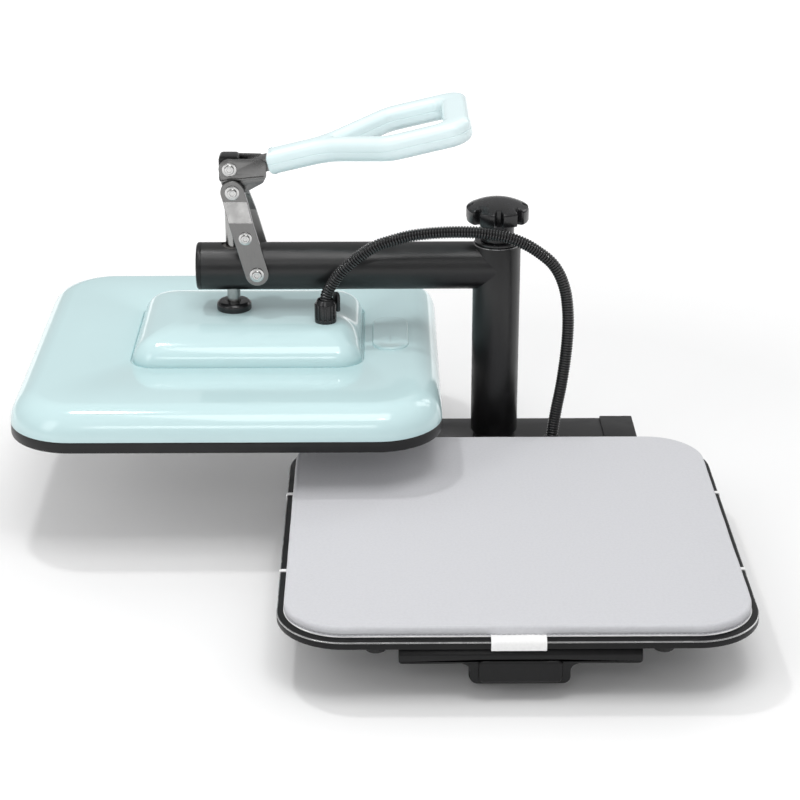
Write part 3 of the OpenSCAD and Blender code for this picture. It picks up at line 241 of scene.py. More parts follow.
elastic = woven("white_elastic", (0.92, 0.92, 0.915), 0.7, 0.03, 0.4)

SLOT_LOOKS = {
    "black_paint": powder, "black_plastic": moulded, "black_rubber": rubber, "mint_cover": mint,
    "mint_grip": mint_grip, "strap_steel": steel, "bright_steel": bright, "pad_fabric": pad_cloth,
    "white_elastic": elastic, "hose_plastic": hose_black, "bush_plastic": bush_grey,
    "green_board": board_green, "red_plastic": red_gloss, "board_fibre": board_fibre,
    "cast_aluminium": dull_alloy,
}
NODE_LOOKS = {
    "platen_rim": rim_black, "star_knob": knob_black, "handle_cheeks": cheek_steel,
    "handle_tang": cheek_steel, "plunger_collar": knob_black, "hose_gland": knob_black,
    "gland_latch": knob_black, "rod_eye": moulded, "knob_washer": knob_black, "plunger_rod": rod_steel,
    "front_bracket": dull_black, "spine_front_cap": dull_black, "lower_platen": plate_black,
    "rear_strap": lit_rear_steel,
}


def look_of(node):
    return NODE_LOOKS.get(node, SLOT_LOOKS[slot_of_node[node]])


for node_name, node_object in nodes.items():
    node_object.data.materials.clear()
    node_object.data.materials.append(look_of(node_name))


# Mesh helpers

def mark_sharp(mesh_edit, degrees):
    limit = math.radians(degrees)
    for face in mesh_edit.faces:
        face.smooth = True
    for edge in mesh_edit.edges:
        edge.smooth = len(edge.link_faces) == 2 and edge.calc_face_angle(0) < limit


def piece_from(name, mesh_edit, mat, body, replaced=(), sharp=40):
    """A new piece from a bmesh in metres, which rides on a body and stands for CAD nodes."""
    bmesh.ops.recalc_face_normals(mesh_edit, faces=mesh_edit.faces)
    mark_sharp(mesh_edit, sharp)
    mesh = bpy.data.meshes.new(name)
    mesh_edit.to_mesh(mesh)
    mesh_edit.free()
    mesh.materials.append(mat)
    made = bpy.data.objects.new(name, mesh)
    bpy.context.scene.collection.objects.link(made)
    if body:
        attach(made, body)
    if replaced:
        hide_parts(*replaced)
    return made


def loft(rings, round_trip=False):
    """A bmesh through closed rings of equal count, given in millimetres, with flat ends or joined up."""
    made = bmesh.new()
    rows = [[made.verts.new(Vector(p) * MM) for p in ring] for ring in rings]
    count = len(rows[0])
    pairs = list(zip(rows, rows[1:]))
    if round_trip:
        pairs.append((rows[-1], rows[0]))
    for low, high in pairs:
        for j in range(count):
            k = (j + 1) % count
            made.faces.new((low[j], low[k], high[k], high[j]))
    if not round_trip:
        made.faces.new(rows[0][::-1])
        made.faces.new(rows[-1])
    return made


def plan_ring(w, d, r, z, centre=(0, 0), arc=14, side=10):
    """Points round a rounded rectangle, with some along its straight sides."""
    points = []
    for c, (sx, sy) in enumerate(((1, 1), (-1, 1), (-1, -1), (1, -1))):
        cx, cy = sx * (w / 2 - r), sy * (d / 2 - r)
        for i in range(arc + 1):
            a = math.radians(90 * c + 90 * i / arc)
            points.append((cx + r * math.cos(a), cy + r * math.sin(a)))
        nx, ny = ((-1, 1), (-1, -1), (1, -1), (1, 1))[c]
        a = math.radians(90 * (c + 1))
        last = points[-1]
        following = (nx * (w / 2 - r) + r * math.cos(a), ny * (d / 2 - r) + r * math.sin(a))
        for i in range(1, side):
            t = i / side
            points.append((last[0] + (following[0] - last[0]) * t, last[1] + (following[1] - last[1]) * t))
    return [(centre[0] + x, centre[1] + y, z) for x, y in points]


def dome_rings(w, d, r, edge, h, z, centre, steps=22, least_r=12):
    """Rings of a flat-topped dome on a rounded rectangle, from its foot to its top."""
    rings = []
    for k in range(steps + 1):
        a = math.radians(90 * k / steps)
        inset = edge * (1 - math.cos(a))
        corner = max(r - 0.85 * inset, least_r)
        rings.append(plan_ring(w - 2 * inset, d - 2 * inset, corner, z + h * math.sin(a), centre))
    return rings


def smooth_step(low, high, value):
    t = min(1.0, max(0.0, (value - low) / (high - low)))
    return t * t * (3 - 2 * t)


# Head covers

HEAD_R = 60
COVER_ROUND = 27
COVER_WALL = 2.5
INNER_W = 214
INNER_D = 168
INNER_R = 24
INNER_ROUND = 44
INNER_SHIFT = 15
SEAM = 1.6
GLAND = (-162.0, -36.0)
# The inner cover is level with its top near the gland, and falls off between these distances
SEAT_NEAR = 13
SEAT_FAR = 36
TOP_RINGS = 13
TOP_STEP = 3

cover_low, cover_high = box_mm("head_cover")
head_centre = ((cover_low.x + cover_high.x) / 2, (cover_low.y + cover_high.y) / 2)
inner_centre = (head_centre[0] + INNER_SHIFT, 0.0)
head_size = cover_high.x - cover_low.x
cover_z = cover_low.z
cover_top = cover_high.z
inner_low, inner_high = box_mm("inner_cover")
inner_top = inner_high.z


def opening_ring(grow, z):
    return plan_ring(INNER_W + 2 * SEAM + 2 * grow, INNER_D + 2 * SEAM + 2 * grow, INNER_R + grow, z,
                     inner_centre)


outer = dome_rings(head_size, head_size, HEAD_R, COVER_ROUND, cover_top - cover_z, cover_z, head_centre)
lip = [opening_ring(1.4, cover_top), opening_ring(0.4, cover_top - 0.35), opening_ring(0, cover_top - 1.3),
       opening_ring(0, cover_top - COVER_WALL)]
inside_size = head_size - 2 * COVER_WALL
inside = dome_rings(inside_size, inside_size, HEAD_R - COVER_WALL, COVER_ROUND - COVER_WALL,
                    cover_top - COVER_WALL - cover_z, cover_z, head_centre, 10)
cover_shell = loft(outer + lip + inside[::-1], round_trip=True)
piece_from("outer_cover_skin", cover_shell, mint, "head", ["head_cover"], 50)

flange_w, flange_d = inner_high.x - inner_low.x, inner_high.y - inner_low.y
flange_grow = (flange_w - INNER_W) / 2
flange_z = cover_top - COVER_WALL
wall = COVER_WALL
hollow = dome_rings(INNER_W - 2 * wall, INNER_D - 2 * wall, INNER_R - wall, INNER_ROUND - wall,
                    inner_top - wall - cover_top, cover_top, inner_centre, 10)
shell = hollow[::-1]
shell.append(plan_ring(INNER_W - 2 * wall, INNER_D - 2 * wall, INNER_R - wall, inner_low.z, inner_centre))
shell.append(plan_ring(flange_w, flange_d, INNER_R + flange_grow, inner_low.z, inner_centre))
shell.append(plan_ring(flange_w, flange_d, INNER_R + flange_grow, flange_z, inner_centre))
shell.append(plan_ring(INNER_W, INNER_D, INNER_R, flange_z, inner_centre))
shell += dome_rings(INNER_W, INNER_D, INNER_R, INNER_ROUND, inner_top - cover_top, cover_top,
                    inner_centre, 30)
for k in range(1, TOP_RINGS + 1):
    inset = INNER_ROUND + TOP_STEP * k
    shell.append(plan_ring(INNER_W - 2 * inset, INNER_D - 2 * inset, max(1.0, TOP_RINGS + 1 - k), inner_top,
                           inner_centre))
raised = []
for ring in shell:
    row = []
    for x, y, z in ring:
        if z > cover_top + 1 and ring not in hollow:
            share = 1 - smooth_step(SEAT_NEAR, SEAT_FAR, math.hypot(x - GLAND[0], y - GLAND[1]))
            z += (inner_top - z) * share
        row.append((x, y, z))
    raised.append(row)
piece_from("inner_cover_skin", loft(raised), mint, "head", ["inner_cover"], 50)

TAB_W = 34.5
TAB_LEN = 85.0
tab_low, tab_high = box_mm("cover_tab")
tab_centre = ((tab_low.x + tab_high.x) / 2, (tab_low.y + tab_high.y) / 2)
tab_h = tab_high.z - tab_low.z
TAB_EDGE = 1.6
TAB_STEP = 1.05
DISH_R = 15.0
DISH_SHARE = 0.7
dish_at = (tab_centre[0], tab_centre[1] - (TAB_LEN - TAB_W) / 2)
tab_rings = []
for k in range(7):
    a = math.radians(15 * k)
    inset = TAB_EDGE * (1 - math.cos(a))
    tab_rings.append(plan_ring(TAB_W - 2 * inset, TAB_LEN - 2 * inset, TAB_W / 2 - 0.5 - 0.9 * inset,
                               tab_low.z + tab_h * math.sin(a), tab_centre, 12, 26))
for k in range(1, 15):
    inset = TAB_EDGE + TAB_STEP * k
    tab_rings.append(plan_ring(TAB_W - 2 * inset, TAB_LEN - 2 * inset, TAB_W / 2 - 0.4 - inset, tab_high.z,
                               tab_centre, 12, 26))


def dished(x, y, z):
    """A point of the tab, lowered where the finger dish is."""
    if z > tab_low.z + 1:
        off = math.hypot(x - dish_at[0], y - dish_at[1])
        z = z - DISH_SHARE * tab_h * (1 - smooth_step(0, DISH_R, off))
    return x, y, z


dished_rings = [[dished(*p) for p in ring] for ring in tab_rings]
piece_from("cover_tab_skin", loft(dished_rings), mint, "head", ["cover_tab"], 60)


# Handle grip

def rounded_path(corners, arc=10):
    """A closed outline from corners that each have a fillet radius."""
    points = []
    count = len(corners)
    for i, (x, y, r) in enumerate(corners):
        here = Vector((x, y))
        back = (Vector(corners[i - 1][:2]) - here).normalized()
        ahead = (Vector(corners[(i + 1) % count][:2]) - here).normalized()
        half = back.angle(ahead) / 2
        reach = r / math.tan(half)
        middle = here + (back + ahead).normalized() * (r / math.sin(half))
        start = here + back * reach - middle
        turn = (here + ahead * reach - middle)
        total = start.angle_signed(turn)
        for k in range(arc + 1):
            a = -total * k / arc
            points.append(middle + Vector((start.x * math.cos(a) - start.y * math.sin(a),
                                           start.x * math.sin(a) + start.y * math.cos(a))))
    return points


def even_path(points, step):
    """The same closed outline with points at an even pace."""
    loop = points + [points[0]]
    lengths = [(b - a).length for a, b in zip(loop, loop[1:])]
    total = sum(lengths)
    count = max(8, round(total / step))
    made = []
    index, walked = 0, 0.0
    for k in range(count):
        target = total * k / count
        while walked + lengths[index] < target:
            walked += lengths[index]
            index += 1
        t = (target - walked) / lengths[index] if lengths[index] else 0
        made.append(loop[index].lerp(loop[index + 1], t))
    return made


def inward(points, left):
    """Unit normals of a closed outline, to its left or its right."""
    count = len(points)
    made = []
    for i in range(count):
        along = (points[(i + 1) % count] - points[i - 1]).normalized()
        normal = Vector((-along.y, along.x))
        made.append(normal if left else -normal)
    return made


def signed_area(points):
    return sum(a.x * b.y - b.x * a.y for a, b in zip(points, points[1:] + points[:1])) / 2


ROOT = 36.0
GRIP_LEN = 193.0
GRIP_HALF = 61.0
THICK_HALF = 11.0
EDGE_R = 7.0
GRIP_LIFT = math.radians(13.4)
GRIP_RISE = -4.5
GRIP_STEP = 2.2
# Corners of the grip and of the gap in it, each with its fillet radius
GRIP_CORNERS = [
    (ROOT, -12, 3), (ROOT + 54, -12.5, 40), (ROOT + 114, -GRIP_HALF, 34), (ROOT + GRIP_LEN, -GRIP_HALF, 22),
    (ROOT + GRIP_LEN, GRIP_HALF, 22), (ROOT + 114, GRIP_HALF, 34), (ROOT + 54, 12.5, 40), (ROOT, 12, 3)]
GAP_CORNERS = [
    (ROOT + 66, 0, 3), (ROOT + 118, -40.5, 16), (ROOT + 168, -40, 9), (ROOT + 168, 40, 9),
    (ROOT + 118, 40.5, 16)]
outline = even_path(rounded_path(GRIP_CORNERS), GRIP_STEP)
gap = even_path(rounded_path(GAP_CORNERS), GRIP_STEP)
rise = []
for k in range(7):
    a = math.radians(15 * k)
    rise.append((EDGE_R * (1 - math.sin(a)), THICK_HALF - EDGE_R * (1 - math.cos(a))))
profile = [(i, -w) for i, w in rise] + [(0, -0.5), (0.45, 0), (0, 0.5)] + [(i, w) for i, w in rise[::-1]]
pivot = Vector(joints["handle_lever"]["pos_m"]) / MM


def on_handle(u, v, w):
    """A place on the grip, along it, across it and up from its middle plane."""
    return Vector((pivot.x + u * math.cos(GRIP_LIFT) - w * math.sin(GRIP_LIFT), v,
                   pivot.z + GRIP_RISE + u * math.sin(GRIP_LIFT) + w * math.cos(GRIP_LIFT)))


grip = bmesh.new()
ends = []
for loop, is_outer in ((outline, True), (gap, False)):
    ccw = signed_area(loop) > 0
    normals = inward(loop, ccw == is_outer)
    rows = []
    for inset, w in profile:
        rows.append([grip.verts.new(on_handle(p.x + n.x * inset, p.y + n.y * inset, w) * MM)
                     for p, n in zip(loop, normals)])
    count = len(loop)
    for low, high in zip(rows, rows[1:]):
        for j in range(count):
            k = (j + 1) % count
            grip.faces.new((low[j], low[k], high[k], high[j]))
    ends.append((rows[0], rows[-1]))
for side in (0, 1):
    rim_edges = []
    for pair in ends:
        row = pair[side]
        for j in range(len(row)):
            rim_edges.append(grip.edges.get((row[j], row[(j + 1) % len(row)])))
    bmesh.ops.triangle_fill(grip, edges=rim_edges, use_beauty=True)
piece_from("handle_grip_skin", grip, mint_grip, "handle", ["handle_grip"], 32)


# Press pad with its loops and tag

pad_low, pad_high = box_mm("press_pad")
pad_centre = ((pad_low.x + pad_high.x) / 2, (pad_low.y + pad_high.y) / 2)
pad_size = pad_high.x - pad_low.x
pad_t = pad_high.z - pad_low.z
PAD_R = 50.0
CROWN = 0.6
FRONT_GAP = 2.5
SEAM_ROW = 4
# How far the cover waves, puckers, swells and is drawn in, and how quickly over the pad
EDGE_FADE = 9
WAVE_DEPTH = 0.45
WAVE_PACE = 0.028
PUCKER_DEPTH = 0.5
PUCKER_PACE = 0.09
SWELL_H = 0.16
SWELL_PACE = 0.012
DRAWN_IN = 0.5
# Inset and height of the sewn side, from its foot to the crease at its top
PAD_SIDE = ((1.6, 0), (0.5, 0.3), (0.1, 0.9), (0, 1.5), (0.6, 2.2), (0.05, 2.9), (0, 4.4), (0.1, 6.2),
            (0.4, 7.8), (1.0, 8.9), (2.0, 9.5), (3.2, 9.6), (4.4, 9.35), (5.4, 9.3), (6.2, 9.4))
pad_rows = list(PAD_SIDE)
crease_in, crease_h = PAD_SIDE[-1]
for k in range(1, 13):
    inset = crease_in + (pad_size / 2 - crease_in - 1) * k / 12
    pad_rows.append((inset, crease_h + CROWN * math.sin(math.radians(min(90, 1.2 * (inset - crease_in))))))
pad_rings = []
for inset, height in pad_rows:
    size = pad_size - 2 * inset
    ring = []
    corner = max(min(PAD_R - 0.8 * inset, size / 2 - 0.1), 0.3)
    for x, y, z in plan_ring(size, size, corner, height, (0, 0), 20, 60):
        edge_share = math.exp(-inset / EDGE_FADE)
        wave = noise.noise(Vector((x * WAVE_PACE, y * WAVE_PACE, 3.1)))
        pucker = noise.noise(Vector((x * PUCKER_PACE, y * PUCKER_PACE, 7.7)))
        low_share = edge_share * (1 - height / pad_t)
        push = WAVE_DEPTH * wave * edge_share + PUCKER_DEPTH * pucker * low_share - DRAWN_IN * edge_share
        out = Vector((x, y)).normalized() * push
        out.y += FRONT_GAP * max(0, -2 * y / pad_size)
        swell = SWELL_H * noise.noise(Vector((x * SWELL_PACE, y * SWELL_PACE, 1.3))) * (height / pad_t)
        ring.append((pad_centre[0] + x + out.x, pad_centre[1] + y + out.y, pad_low.z + z + swell))
    pad_rings.append(ring)
pad_piece = piece_from("press_pad_cover", loft(pad_rings), pad_cloth, "base", ["press_pad"], 70)


def ribbon(path, width, thick, along):
    """A flat band along a path of points in one plane, its width along the given axis."""
    across = Vector(along) * width / 2
    made = bmesh.new()
    rows = []
    for i, p in enumerate(path):
        here = Vector(p)
        ahead = Vector(path[min(i + 1, len(path) - 1)]) - Vector(path[max(i - 1, 0)])
        out = ahead.cross(across).normalized() * thick
        rows.append([made.verts.new((here + q) * MM) for q in (-across, across, across + out, out - across)])
    for low, high in zip(rows, rows[1:]):
        for j in range(4):
            k = (j + 1) % 4
            made.faces.new((low[j], low[k], high[k], high[j]))
    made.faces.new(rows[0][::-1])
    made.faces.new(rows[-1])
    return made


platen_low, platen_high = box_mm("lower_platen")
LOOP_W = 4.0
LOOP_T = 0.8
LOOP_OFFSET = 76.0
LOOP_SHIFT = 5.0
LOOP_START = 8.5
LOOP_UNDER = 26


def over_edge(edge, inner, low_in):
    """A path from the pad, over the platen's edge and round below it, as distance and height."""
    top, bottom = platen_high.z, platen_low.z
    path = [(inner, top + 1.0), (inner + 2, top + 0.15), (edge - 1.5, top + 0.05), (edge - 0.3, top + 0.02)]
    path += [(edge + 0.04, top - 0.4), (edge + 0.04, bottom + 0.5)]
    path += [(edge + 0.02, bottom - 0.1), (edge - 0.6, bottom - 0.06), (low_in, bottom - 0.06)]
    return path


bands = bmesh.new()
half = (platen_high.x - platen_low.x) / 2
for sx in (-1, 1):
    for sy in (-1, 1):
        y = pad_centre[1] + LOOP_SHIFT + sy * LOOP_OFFSET
        path = [(sx * d, y, z) for d, z in over_edge(half, half - LOOP_START, half - LOOP_UNDER)]
        part = ribbon(path, LOOP_W, LOOP_T, (0, sx, 0))
        mesh = bpy.data.meshes.new("part")
        part.to_mesh(mesh)
        part.free()
        bands.from_mesh(mesh)
        bpy.data.meshes.remove(mesh)
piece_from("pad_elastic_loops", bands, elastic, "base", ["pad_loops"], 60)

tag_low, tag_high = box_mm("pad_tag")
tag_w = tag_high.x - tag_low.x
tag_x = (tag_low.x + tag_high.x) / 2
TAG_FALL = ((-11, 2.2), (-8.5, 2.1), (-6, 1.9), (-3.6, 1.5), (-1.7, 0.8), (-0.5, 0.1),
            (0.15, -0.9), (0.45, -2.4), (0.5, -4.5))
tag_path = [(tag_x, pad_centre[1] - half - d, platen_high.z + z) for d, z in TAG_FALL]
tag_path.append((tag_x, pad_centre[1] - half - 0.5, tag_low.z))
piece_from("pad_cloth_tag", ribbon(tag_path, tag_w, LOOP_T, (-1, 0, 0)), elastic, "base", ["pad_tag"], 60)

STITCH_PITCH = 4.2
STITCH_LEN = 2.9
STITCH_HALF = 0.32
seam_row = [Vector(q) for q in pad_rings[SEAM_ROW]]
seam_z = sum(q.z for q in seam_row) / len(seam_row)
stitches = bmesh.new()
spots = even_path([q.xy for q in seam_row], STITCH_PITCH)
for i, spot in enumerate(spots):
    along = (spots[(i + 1) % len(spots)] - spots[i - 1]).normalized()
    out = Vector((along.y, -along.x)) * STITCH_HALF
    if out.dot(spot - Vector(pad_centre)) < 0:
        out = -out
    ends = []
    for share, lift in ((-0.5, 0.2), (-0.25, 1.0), (0.25, 1.0), (0.5, 0.2)):
        base = spot + along * STITCH_LEN * share
        ring = []
        for a, z in ((-0.6, -1), (lift, -0.6), (lift, 0.6), (-0.6, 1)):
            at = base + out * a
            ring.append(stitches.verts.new(Vector((at.x, at.y, seam_z + z * STITCH_HALF)) * MM))
        ends.append(ring)
    for low, high in zip(ends, ends[1:]):
        for j in range(4):
            k = (j + 1) % 4
            stitches.faces.new((low[j], low[k], high[k], high[j]))
    stitches.faces.new(ends[0][::-1])
    stitches.faces.new(ends[-1])
piece_from("pad_hem_stitches", stitches, thread, "base", (), 50)

PIPING_R = 0.6
PIPING_IN = 0.6
PIPING_SIDES = 8
piping = []
for k in range(PIPING_SIDES):
    a = 2 * math.pi * k / PIPING_SIDES
    inset = PIPING_IN + PIPING_R * math.cos(a)
    size = pad_size - 2 * inset
    ring = plan_ring(size, size, PAD_R - inset, pad_low.z + PIPING_R * (1.1 + math.sin(a)), (0, 0), 20, 60)
    piping.append([(pad_centre[0] + x, pad_centre[1] + y + FRONT_GAP * max(0, -2 * y / pad_size), z)
                   for x, y, z in ring])
piping_piece = piece_from("pad_piping", loft(piping, round_trip=True), elastic, "base", (), 60)


# Hose

BASE_GLAND = (54.5, -31.0)
sleeve_top = box_mm("column_sleeve")[1].z
beam_top = box_mm("rear_beam")[1].z
FROM_GLAND = ((0, 0, -34.5), (0, 0, -4.5), (0.4, -0.3, 22.5), (6, -1, 36.5), (15.5, -2, 50), (33, -3.5, 66))
OVER_COLUMN = ((-113.5, -40.5, 10.5), (-98, -41, 16), (-83, -41, 20), (-67.5, -41, 22.2), (-52, -41, 23.3),
               (-36.5, -41, 23.6), (-21, -41, 23), (-6, -41, 21), (9.5, -41, 17.5), (25.5, -40.5, 10.8),
               (41, -39.5, 0), (50, -38.7, -8.5), (56.7, -38, -19), (61.4, -37.2, -31), (64.3, -36.5, -43.5))
TO_BEAM = ((11.7, -4.5, 136.5), (11.9, -3.5, 118), (11, -2.5, 99.5), (9.3, -1.6, 81), (7, -1, 62),
           (3.9, -0.4, 43), (1.3, 0, 23.5), (0, 0, 8.5), (0, 0, -5.5))
HOSE_ROUTE = [Vector(p) + Vector((*GLAND, inner_top)) for p in FROM_GLAND]
HOSE_ROUTE += [Vector(p) + Vector((0, 0, sleeve_top)) for p in OVER_COLUMN]
HOSE_ROUTE += [Vector(p) + Vector((*BASE_GLAND, beam_top)) for p in TO_BEAM]
HOSE_OD = 11.5
HOSE_BORE = 7.5
RIBS = 190
BORE_RINGS = 60
# The last ring stops this far short of the end of the route
END_SHORT = 0.01


def curve_point(t):
    """A place on a smooth curve through the route's points."""
    last = len(HOSE_ROUTE) - 1
    i = min(int(t), last - 1)
    u = t - i
    a, b = HOSE_ROUTE[max(i - 1, 0)], HOSE_ROUTE[i]
    c, d = HOSE_ROUTE[i + 1], HOSE_ROUTE[min(i + 2, last)]
    return 0.5 * (2 * b + (c - a) * u + (2 * a - 5 * b + 4 * c - d) * u * u
                  + (3 * b - a - 3 * c + d) * u ** 3)


SAMPLES = 40
fine = [curve_point(k / SAMPLES) for k in range(SAMPLES * (len(HOSE_ROUTE) - 1) + 1)]
walk = [0.0]
for a, b in zip(fine, fine[1:]):
    walk.append(walk[-1] + (b - a).length)
hose_length = walk[-1]


def along_hose(s):
    """The place and the direction of the hose at a distance from its start."""
    low, high = 0, len(walk) - 2
    while low < high:
        mid = (low + high + 1) // 2
        if walk[mid] <= s:
            low = mid
        else:
            high = mid - 1
    t = (s - walk[low]) / (walk[low + 1] - walk[low])
    ahead = fine[min(low + 3, len(fine) - 1)] - fine[max(low - 2, 0)]
    return fine[low].lerp(fine[low + 1], t), ahead.normalized()


def hose_ring(s, r, sides=14):
    at, ahead = along_hose(s)
    side = (Vector((0, 1, 0)) - ahead * ahead.y).normalized()
    up = ahead.cross(side)
    return [at + r * (math.cos(2 * math.pi * j / sides) * side + math.sin(2 * math.pi * j / sides) * up)
            for j in range(sides)]


hose_rings = []
VALLEY = -1.15
# Share of the pitch and height against the crest
RIB_SHAPE = ((0.0, VALLEY), (0.1, -0.95), (0.22, -0.32), (0.36, -0.06), (0.5, 0.0), (0.64, -0.06),
             (0.78, -0.32), (0.9, -0.95))
for k in range(RIBS):
    for share, dip in RIB_SHAPE:
        hose_rings.append(hose_ring((k + share) * hose_length / RIBS, HOSE_OD / 2 + dip))
hose_rings.append(hose_ring(hose_length - END_SHORT, HOSE_OD / 2 + VALLEY))
for k in range(BORE_RINGS, -1, -1):
    hose_rings.append(hose_ring(min(k * hose_length / BORE_RINGS, hose_length - END_SHORT), HOSE_BORE / 2))
hose_piece = piece_from("power_hose", loft(hose_rings, round_trip=True), hose_black, None, ["hose"], 60)
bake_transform(hose_piece)


# Star knob

knob_low, knob_high = box_mm("star_knob")
KNOB_R = 29.5
NECK_R = 16.0
NECK_H = 19.5
LOBE_H = 13.5
LOBES = 8
GROOVE_R = 23.0
DOME_R = KNOB_R - 2.2
DOME_H = 7.0
lobe_z = knob_low.z + NECK_H
lobe_top = lobe_z + LOBE_H


def star_ring(r, z, sides=320):
    """A ring of the knob, with the grooves between the lobes where it reaches beyond their floor."""
    ring = []
    for j in range(sides):
        a = 2 * math.pi * j / sides
        off = abs((a * LOBES / (2 * math.pi) + 0.5) % 1 - 0.5)
        at = r - max(0.0, r - GROOVE_R) * (1 - smooth_step(0.11, 0.19, off))
        ring.append((at * math.cos(a), at * math.sin(a), z))
    return ring


knob_rows = [(NECK_R - 0.8, knob_low.z), (NECK_R, knob_low.z + 0.8), (NECK_R, lobe_z - 2),
             (NECK_R + 1, lobe_z), (KNOB_R - 2, lobe_z), (KNOB_R - 0.6, lobe_z + 0.6), (KNOB_R, lobe_z + 2),
             (KNOB_R, lobe_top - 2.2), (KNOB_R - 0.25, lobe_top - 1.1), (KNOB_R - 0.9, lobe_top - 0.2)]
for k in range(13):
    r = max(1.0, DOME_R * (1 - k / 12))
    knob_rows.append((r, knob_high.z - DOME_H * (r / DOME_R) ** 2))
knob_mesh = loft([star_ring(*row) for row in knob_rows])
piece_from("star_knob_skin", knob_mesh, knob_black, "knob", ["star_knob"], 38)


# CAD nodes with softened edges

SOFT_ANGLE = math.radians(30)
# Rounded faces that face up more than this get the bare metal of wear and painted highlight
WEAR_AND_HIGHLIGHT_UP = 0.15


def soften(node, width_mm, sharp=35, front_mm=0, wear_and_highlight=None):
    """A copy of a CAD node with its sharp outer edges rounded, those of its foremost face more if asked.

    Where a wear-and-highlight look is given, the rounded edges that face up get it: bare metal that stands for
    wear and for a painted highlight along the top edges.
    """
    made = bmesh.new()
    made.from_mesh(nodes[node].data)
    bmesh.ops.remove_doubles(made, verts=made.verts, dist=2e-6)
    bmesh.ops.dissolve_limit(made, angle_limit=math.radians(0.4), verts=made.verts, edges=made.edges)
    front = min(v.co.y for v in made.verts) + 0.05 * MM
    for width, foremost in ((front_mm, True), (width_mm, False)):
        chosen = [e for e in made.edges if len(e.link_faces) == 2 and e.is_convex
                  and e.calc_face_angle(0) > SOFT_ANGLE
                  and (not foremost or max(v.co.y for v in e.verts) < front)]
        if width:
            done = bmesh.ops.bevel(made, geom=chosen, offset=width * MM, segments=2, profile=0.5,
                                   affect="EDGES", clamp_overlap=False)
    if wear_and_highlight:
        made.normal_update()
        for face in done["faces"]:
            face.material_index = int(face.normal.z > WEAR_AND_HIGHLIGHT_UP)
    piece = piece_from(node + "_soft", made, look_of(node), body_of_node[node], [node], sharp)
    if wear_and_highlight:
        piece.data.materials.append(wear_and_highlight)


# Width of the rounding of each node, in millimetres
SOFTENED = {
    "rear_beam": 0.8, "beam_end_caps": 0.6, "base_spine": 0.8, "spine_front_cap": 1.6, "front_bracket": 1.0,
    "rear_bracket": 0.8, "lower_platen": 0.9, "platen_rim": 0.9, "front_strap": 0.5, "rear_strap": 0.5,
    "handle_cheeks": 0.35, "handle_tang": 0.8, "rod_eye": 1.2, "arm_end_plug": 0.5, "column_sleeve": 0.6,
    "plunger_collar": 0.8, "hose_gland": 0.25, "gland_latch": 0.8, "hose_base_gland": 0.5,
    "power_inlet": 0.4, "switch_bezel": 0.4, "switch_rocker": 0.3, "heat_platen": 0.6, "platen_bumpers": 0.8,
    "foot_pads": 0.6, "knob_washer": 0.3, "swing_washer": 0.4, "strap_pivot_bolt": 0.3, "strap_tie_bolt": 0.3,
    "strap_upper_bolts": 0.3, "lever_pin": 0.25,
}
FLAT_BENDS = {"front_strap": 12, "rear_strap": 12}
FRONT_ROUND = {"front_bracket": 2.1}
# Nodes whose up-facing rounded edges get bare metal, as wear and as a painted highlight line
WEAR_AND_HIGHLIGHT_EDGES = {"lower_platen": wear_and_highlight_edge, "column_sleeve": wear_and_highlight_edge}
for node_name, width in SOFTENED.items():
    soften(node_name, width, FLAT_BENDS.get(node_name, 35), FRONT_ROUND.get(node_name, 0),
           WEAR_AND_HIGHLIGHT_EDGES.get(node_name))


# Floor, light and background

FLOOR_REACH = 9.0
SKY_STRENGTH = 0.68
# The floor's own glow for the camera, near the object and far from it, and the distances in metres
GLOW_NEAR = 0.05
GLOW_FAR = 0.8
GLOW_START = 0.42
GLOW_END = 2.1


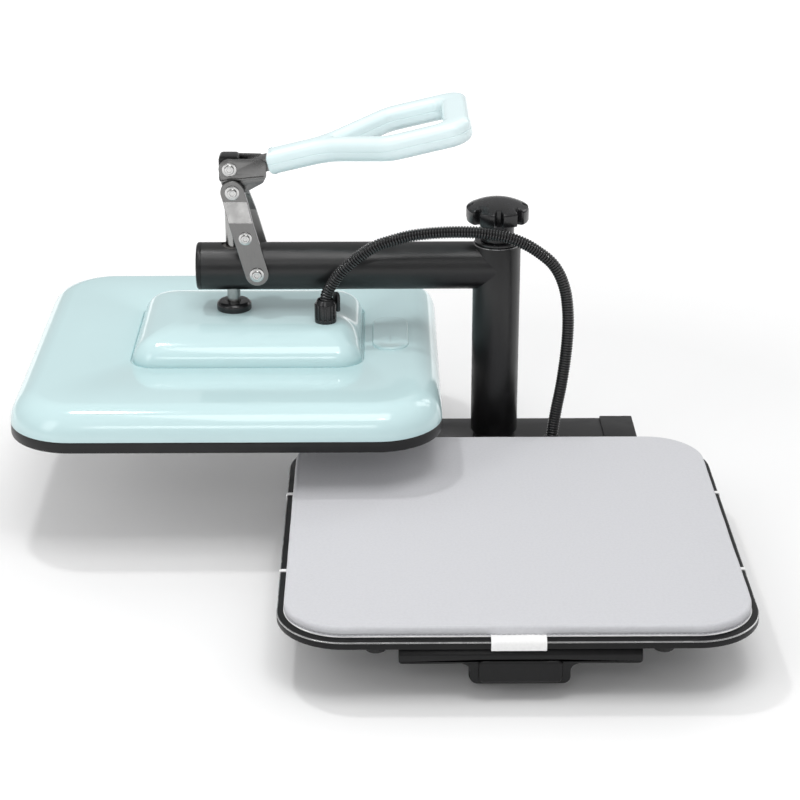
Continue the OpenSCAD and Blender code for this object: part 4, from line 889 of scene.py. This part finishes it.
def stage_floor():
    mesh = bpy.data.meshes.new("floor")
    corners = [(x * FLOOR_REACH, y * FLOOR_REACH, 0) for x, y in ((-1, -1), (1, -1), (1, 1), (-1, 1))]
    mesh.from_pydata(corners, [], [(0, 1, 2, 3)])
    floor = bpy.data.objects.new("floor", mesh)
    bpy.context.scene.collection.objects.link(floor)
    mat, tree, shader = new_material("floor_white")
    shader.inputs["Base Color"].default_value = (0.90, 0.90, 0.90, 1)
    shader.inputs["Roughness"].default_value = 0.7
    shader.inputs["Specular IOR Level"].default_value = 0.1
    distance = tree.nodes.new("ShaderNodeVectorMath")
    distance.operation = "LENGTH"
    tree.links.new(place(tree), distance.inputs[0])
    level = spread(tree, distance.outputs["Value"], GLOW_NEAR, GLOW_FAR, GLOW_START, GLOW_END)
    rays = tree.nodes.new("ShaderNodeLightPath")
    seen = rays.outputs["Is Camera Ray"]
    for ray in ("Is Glossy Ray", "Is Transmission Ray"):
        either = tree.nodes.new("ShaderNodeMath")
        either.operation = "MAXIMUM"
        tree.links.new(seen, either.inputs[0])
        tree.links.new(rays.outputs[ray], either.inputs[1])
        seen = either.outputs["Value"]
    strength = tree.nodes.new("ShaderNodeMath")
    strength.operation = "MULTIPLY"
    tree.links.new(level, strength.inputs[0])
    tree.links.new(seen, strength.inputs[1])
    glow = tree.nodes.new("ShaderNodeEmission")
    tree.links.new(strength.outputs["Value"], glow.inputs["Strength"])
    both = tree.nodes.new("ShaderNodeAddShader")
    tree.links.new(shader.outputs["BSDF"], both.inputs[0])
    tree.links.new(glow.outputs["Emission"], both.inputs[1])
    tree.links.new(both.outputs["Shader"], tree.nodes["Material Output"].inputs["Surface"])
    floor.data.materials.append(mat)


def area_light(name, at, target, size, power):
    data = bpy.data.lights.new(name, "AREA")
    data.shape = "RECTANGLE"
    data.size, data.size_y = size
    data.energy = power
    lamp = bpy.data.objects.new(name, data)
    lamp.location = at
    lamp.rotation_euler = (Vector(target) - Vector(at)).to_track_quat("-Z", "Y").to_euler()
    bpy.context.scene.collection.objects.link(lamp)


stage_floor()
area_light("key", (-0.56, -0.06, 1.6), (-0.1, -0.2, 0.05), (0.12, 0.12), 4.6)
area_light("top_panel", (0.1, -1.0, 2.5), (-0.1, -0.1, 0.2), (1.3, 1.2), 17.5)
area_light("front_panel", (-0.42, -3.1, 2.12), (-0.1, -0.15, 0.15), (1.0, 0.55), 7)
area_light("glint", (0.3, -1.3, 2.3), (0, -0.1, 0.25), (0.22, 0.22), 2.4)
area_light("left_panel", (-1.9, -1.5, 1.4), (-0.1, -0.15, 0.1), (0.8, 1.4), 7)
area_light("back_panel", (1.6, 1.5, 1.6), (-0.1, -0.1, 0.15), (0.7, 1.2), 6)

world = bpy.data.worlds.new("studio")
bpy.context.scene.world = world
world.use_nodes = True
sky = world.node_tree
background = sky.nodes["Background"]
background.inputs["Strength"].default_value = SKY_STRENGTH
sky_at = sky.nodes.new("ShaderNodeTexCoord")
sky_split = sky.nodes.new("ShaderNodeSeparateXYZ")
sky_ramp = sky.nodes.new("ShaderNodeValToRGB")
sky_ramp.color_ramp.elements[0].position = 0.0
sky_ramp.color_ramp.elements[0].color = (0.75, 0.75, 0.75, 1)
sky_ramp.color_ramp.elements[1].position = 0.75
sky_ramp.color_ramp.elements[1].color = (1, 1, 1, 1)
middle = sky_ramp.color_ramp.elements.new(0.28)
middle.color = (0.5, 0.5, 0.51, 1)
sky.links.new(sky_at.outputs["Generated"], sky_split.inputs["Vector"])
sky.links.new(sky_split.outputs["Z"], sky_ramp.inputs["Fac"])
sky.links.new(sky_ramp.outputs["Color"], background.inputs["Color"])
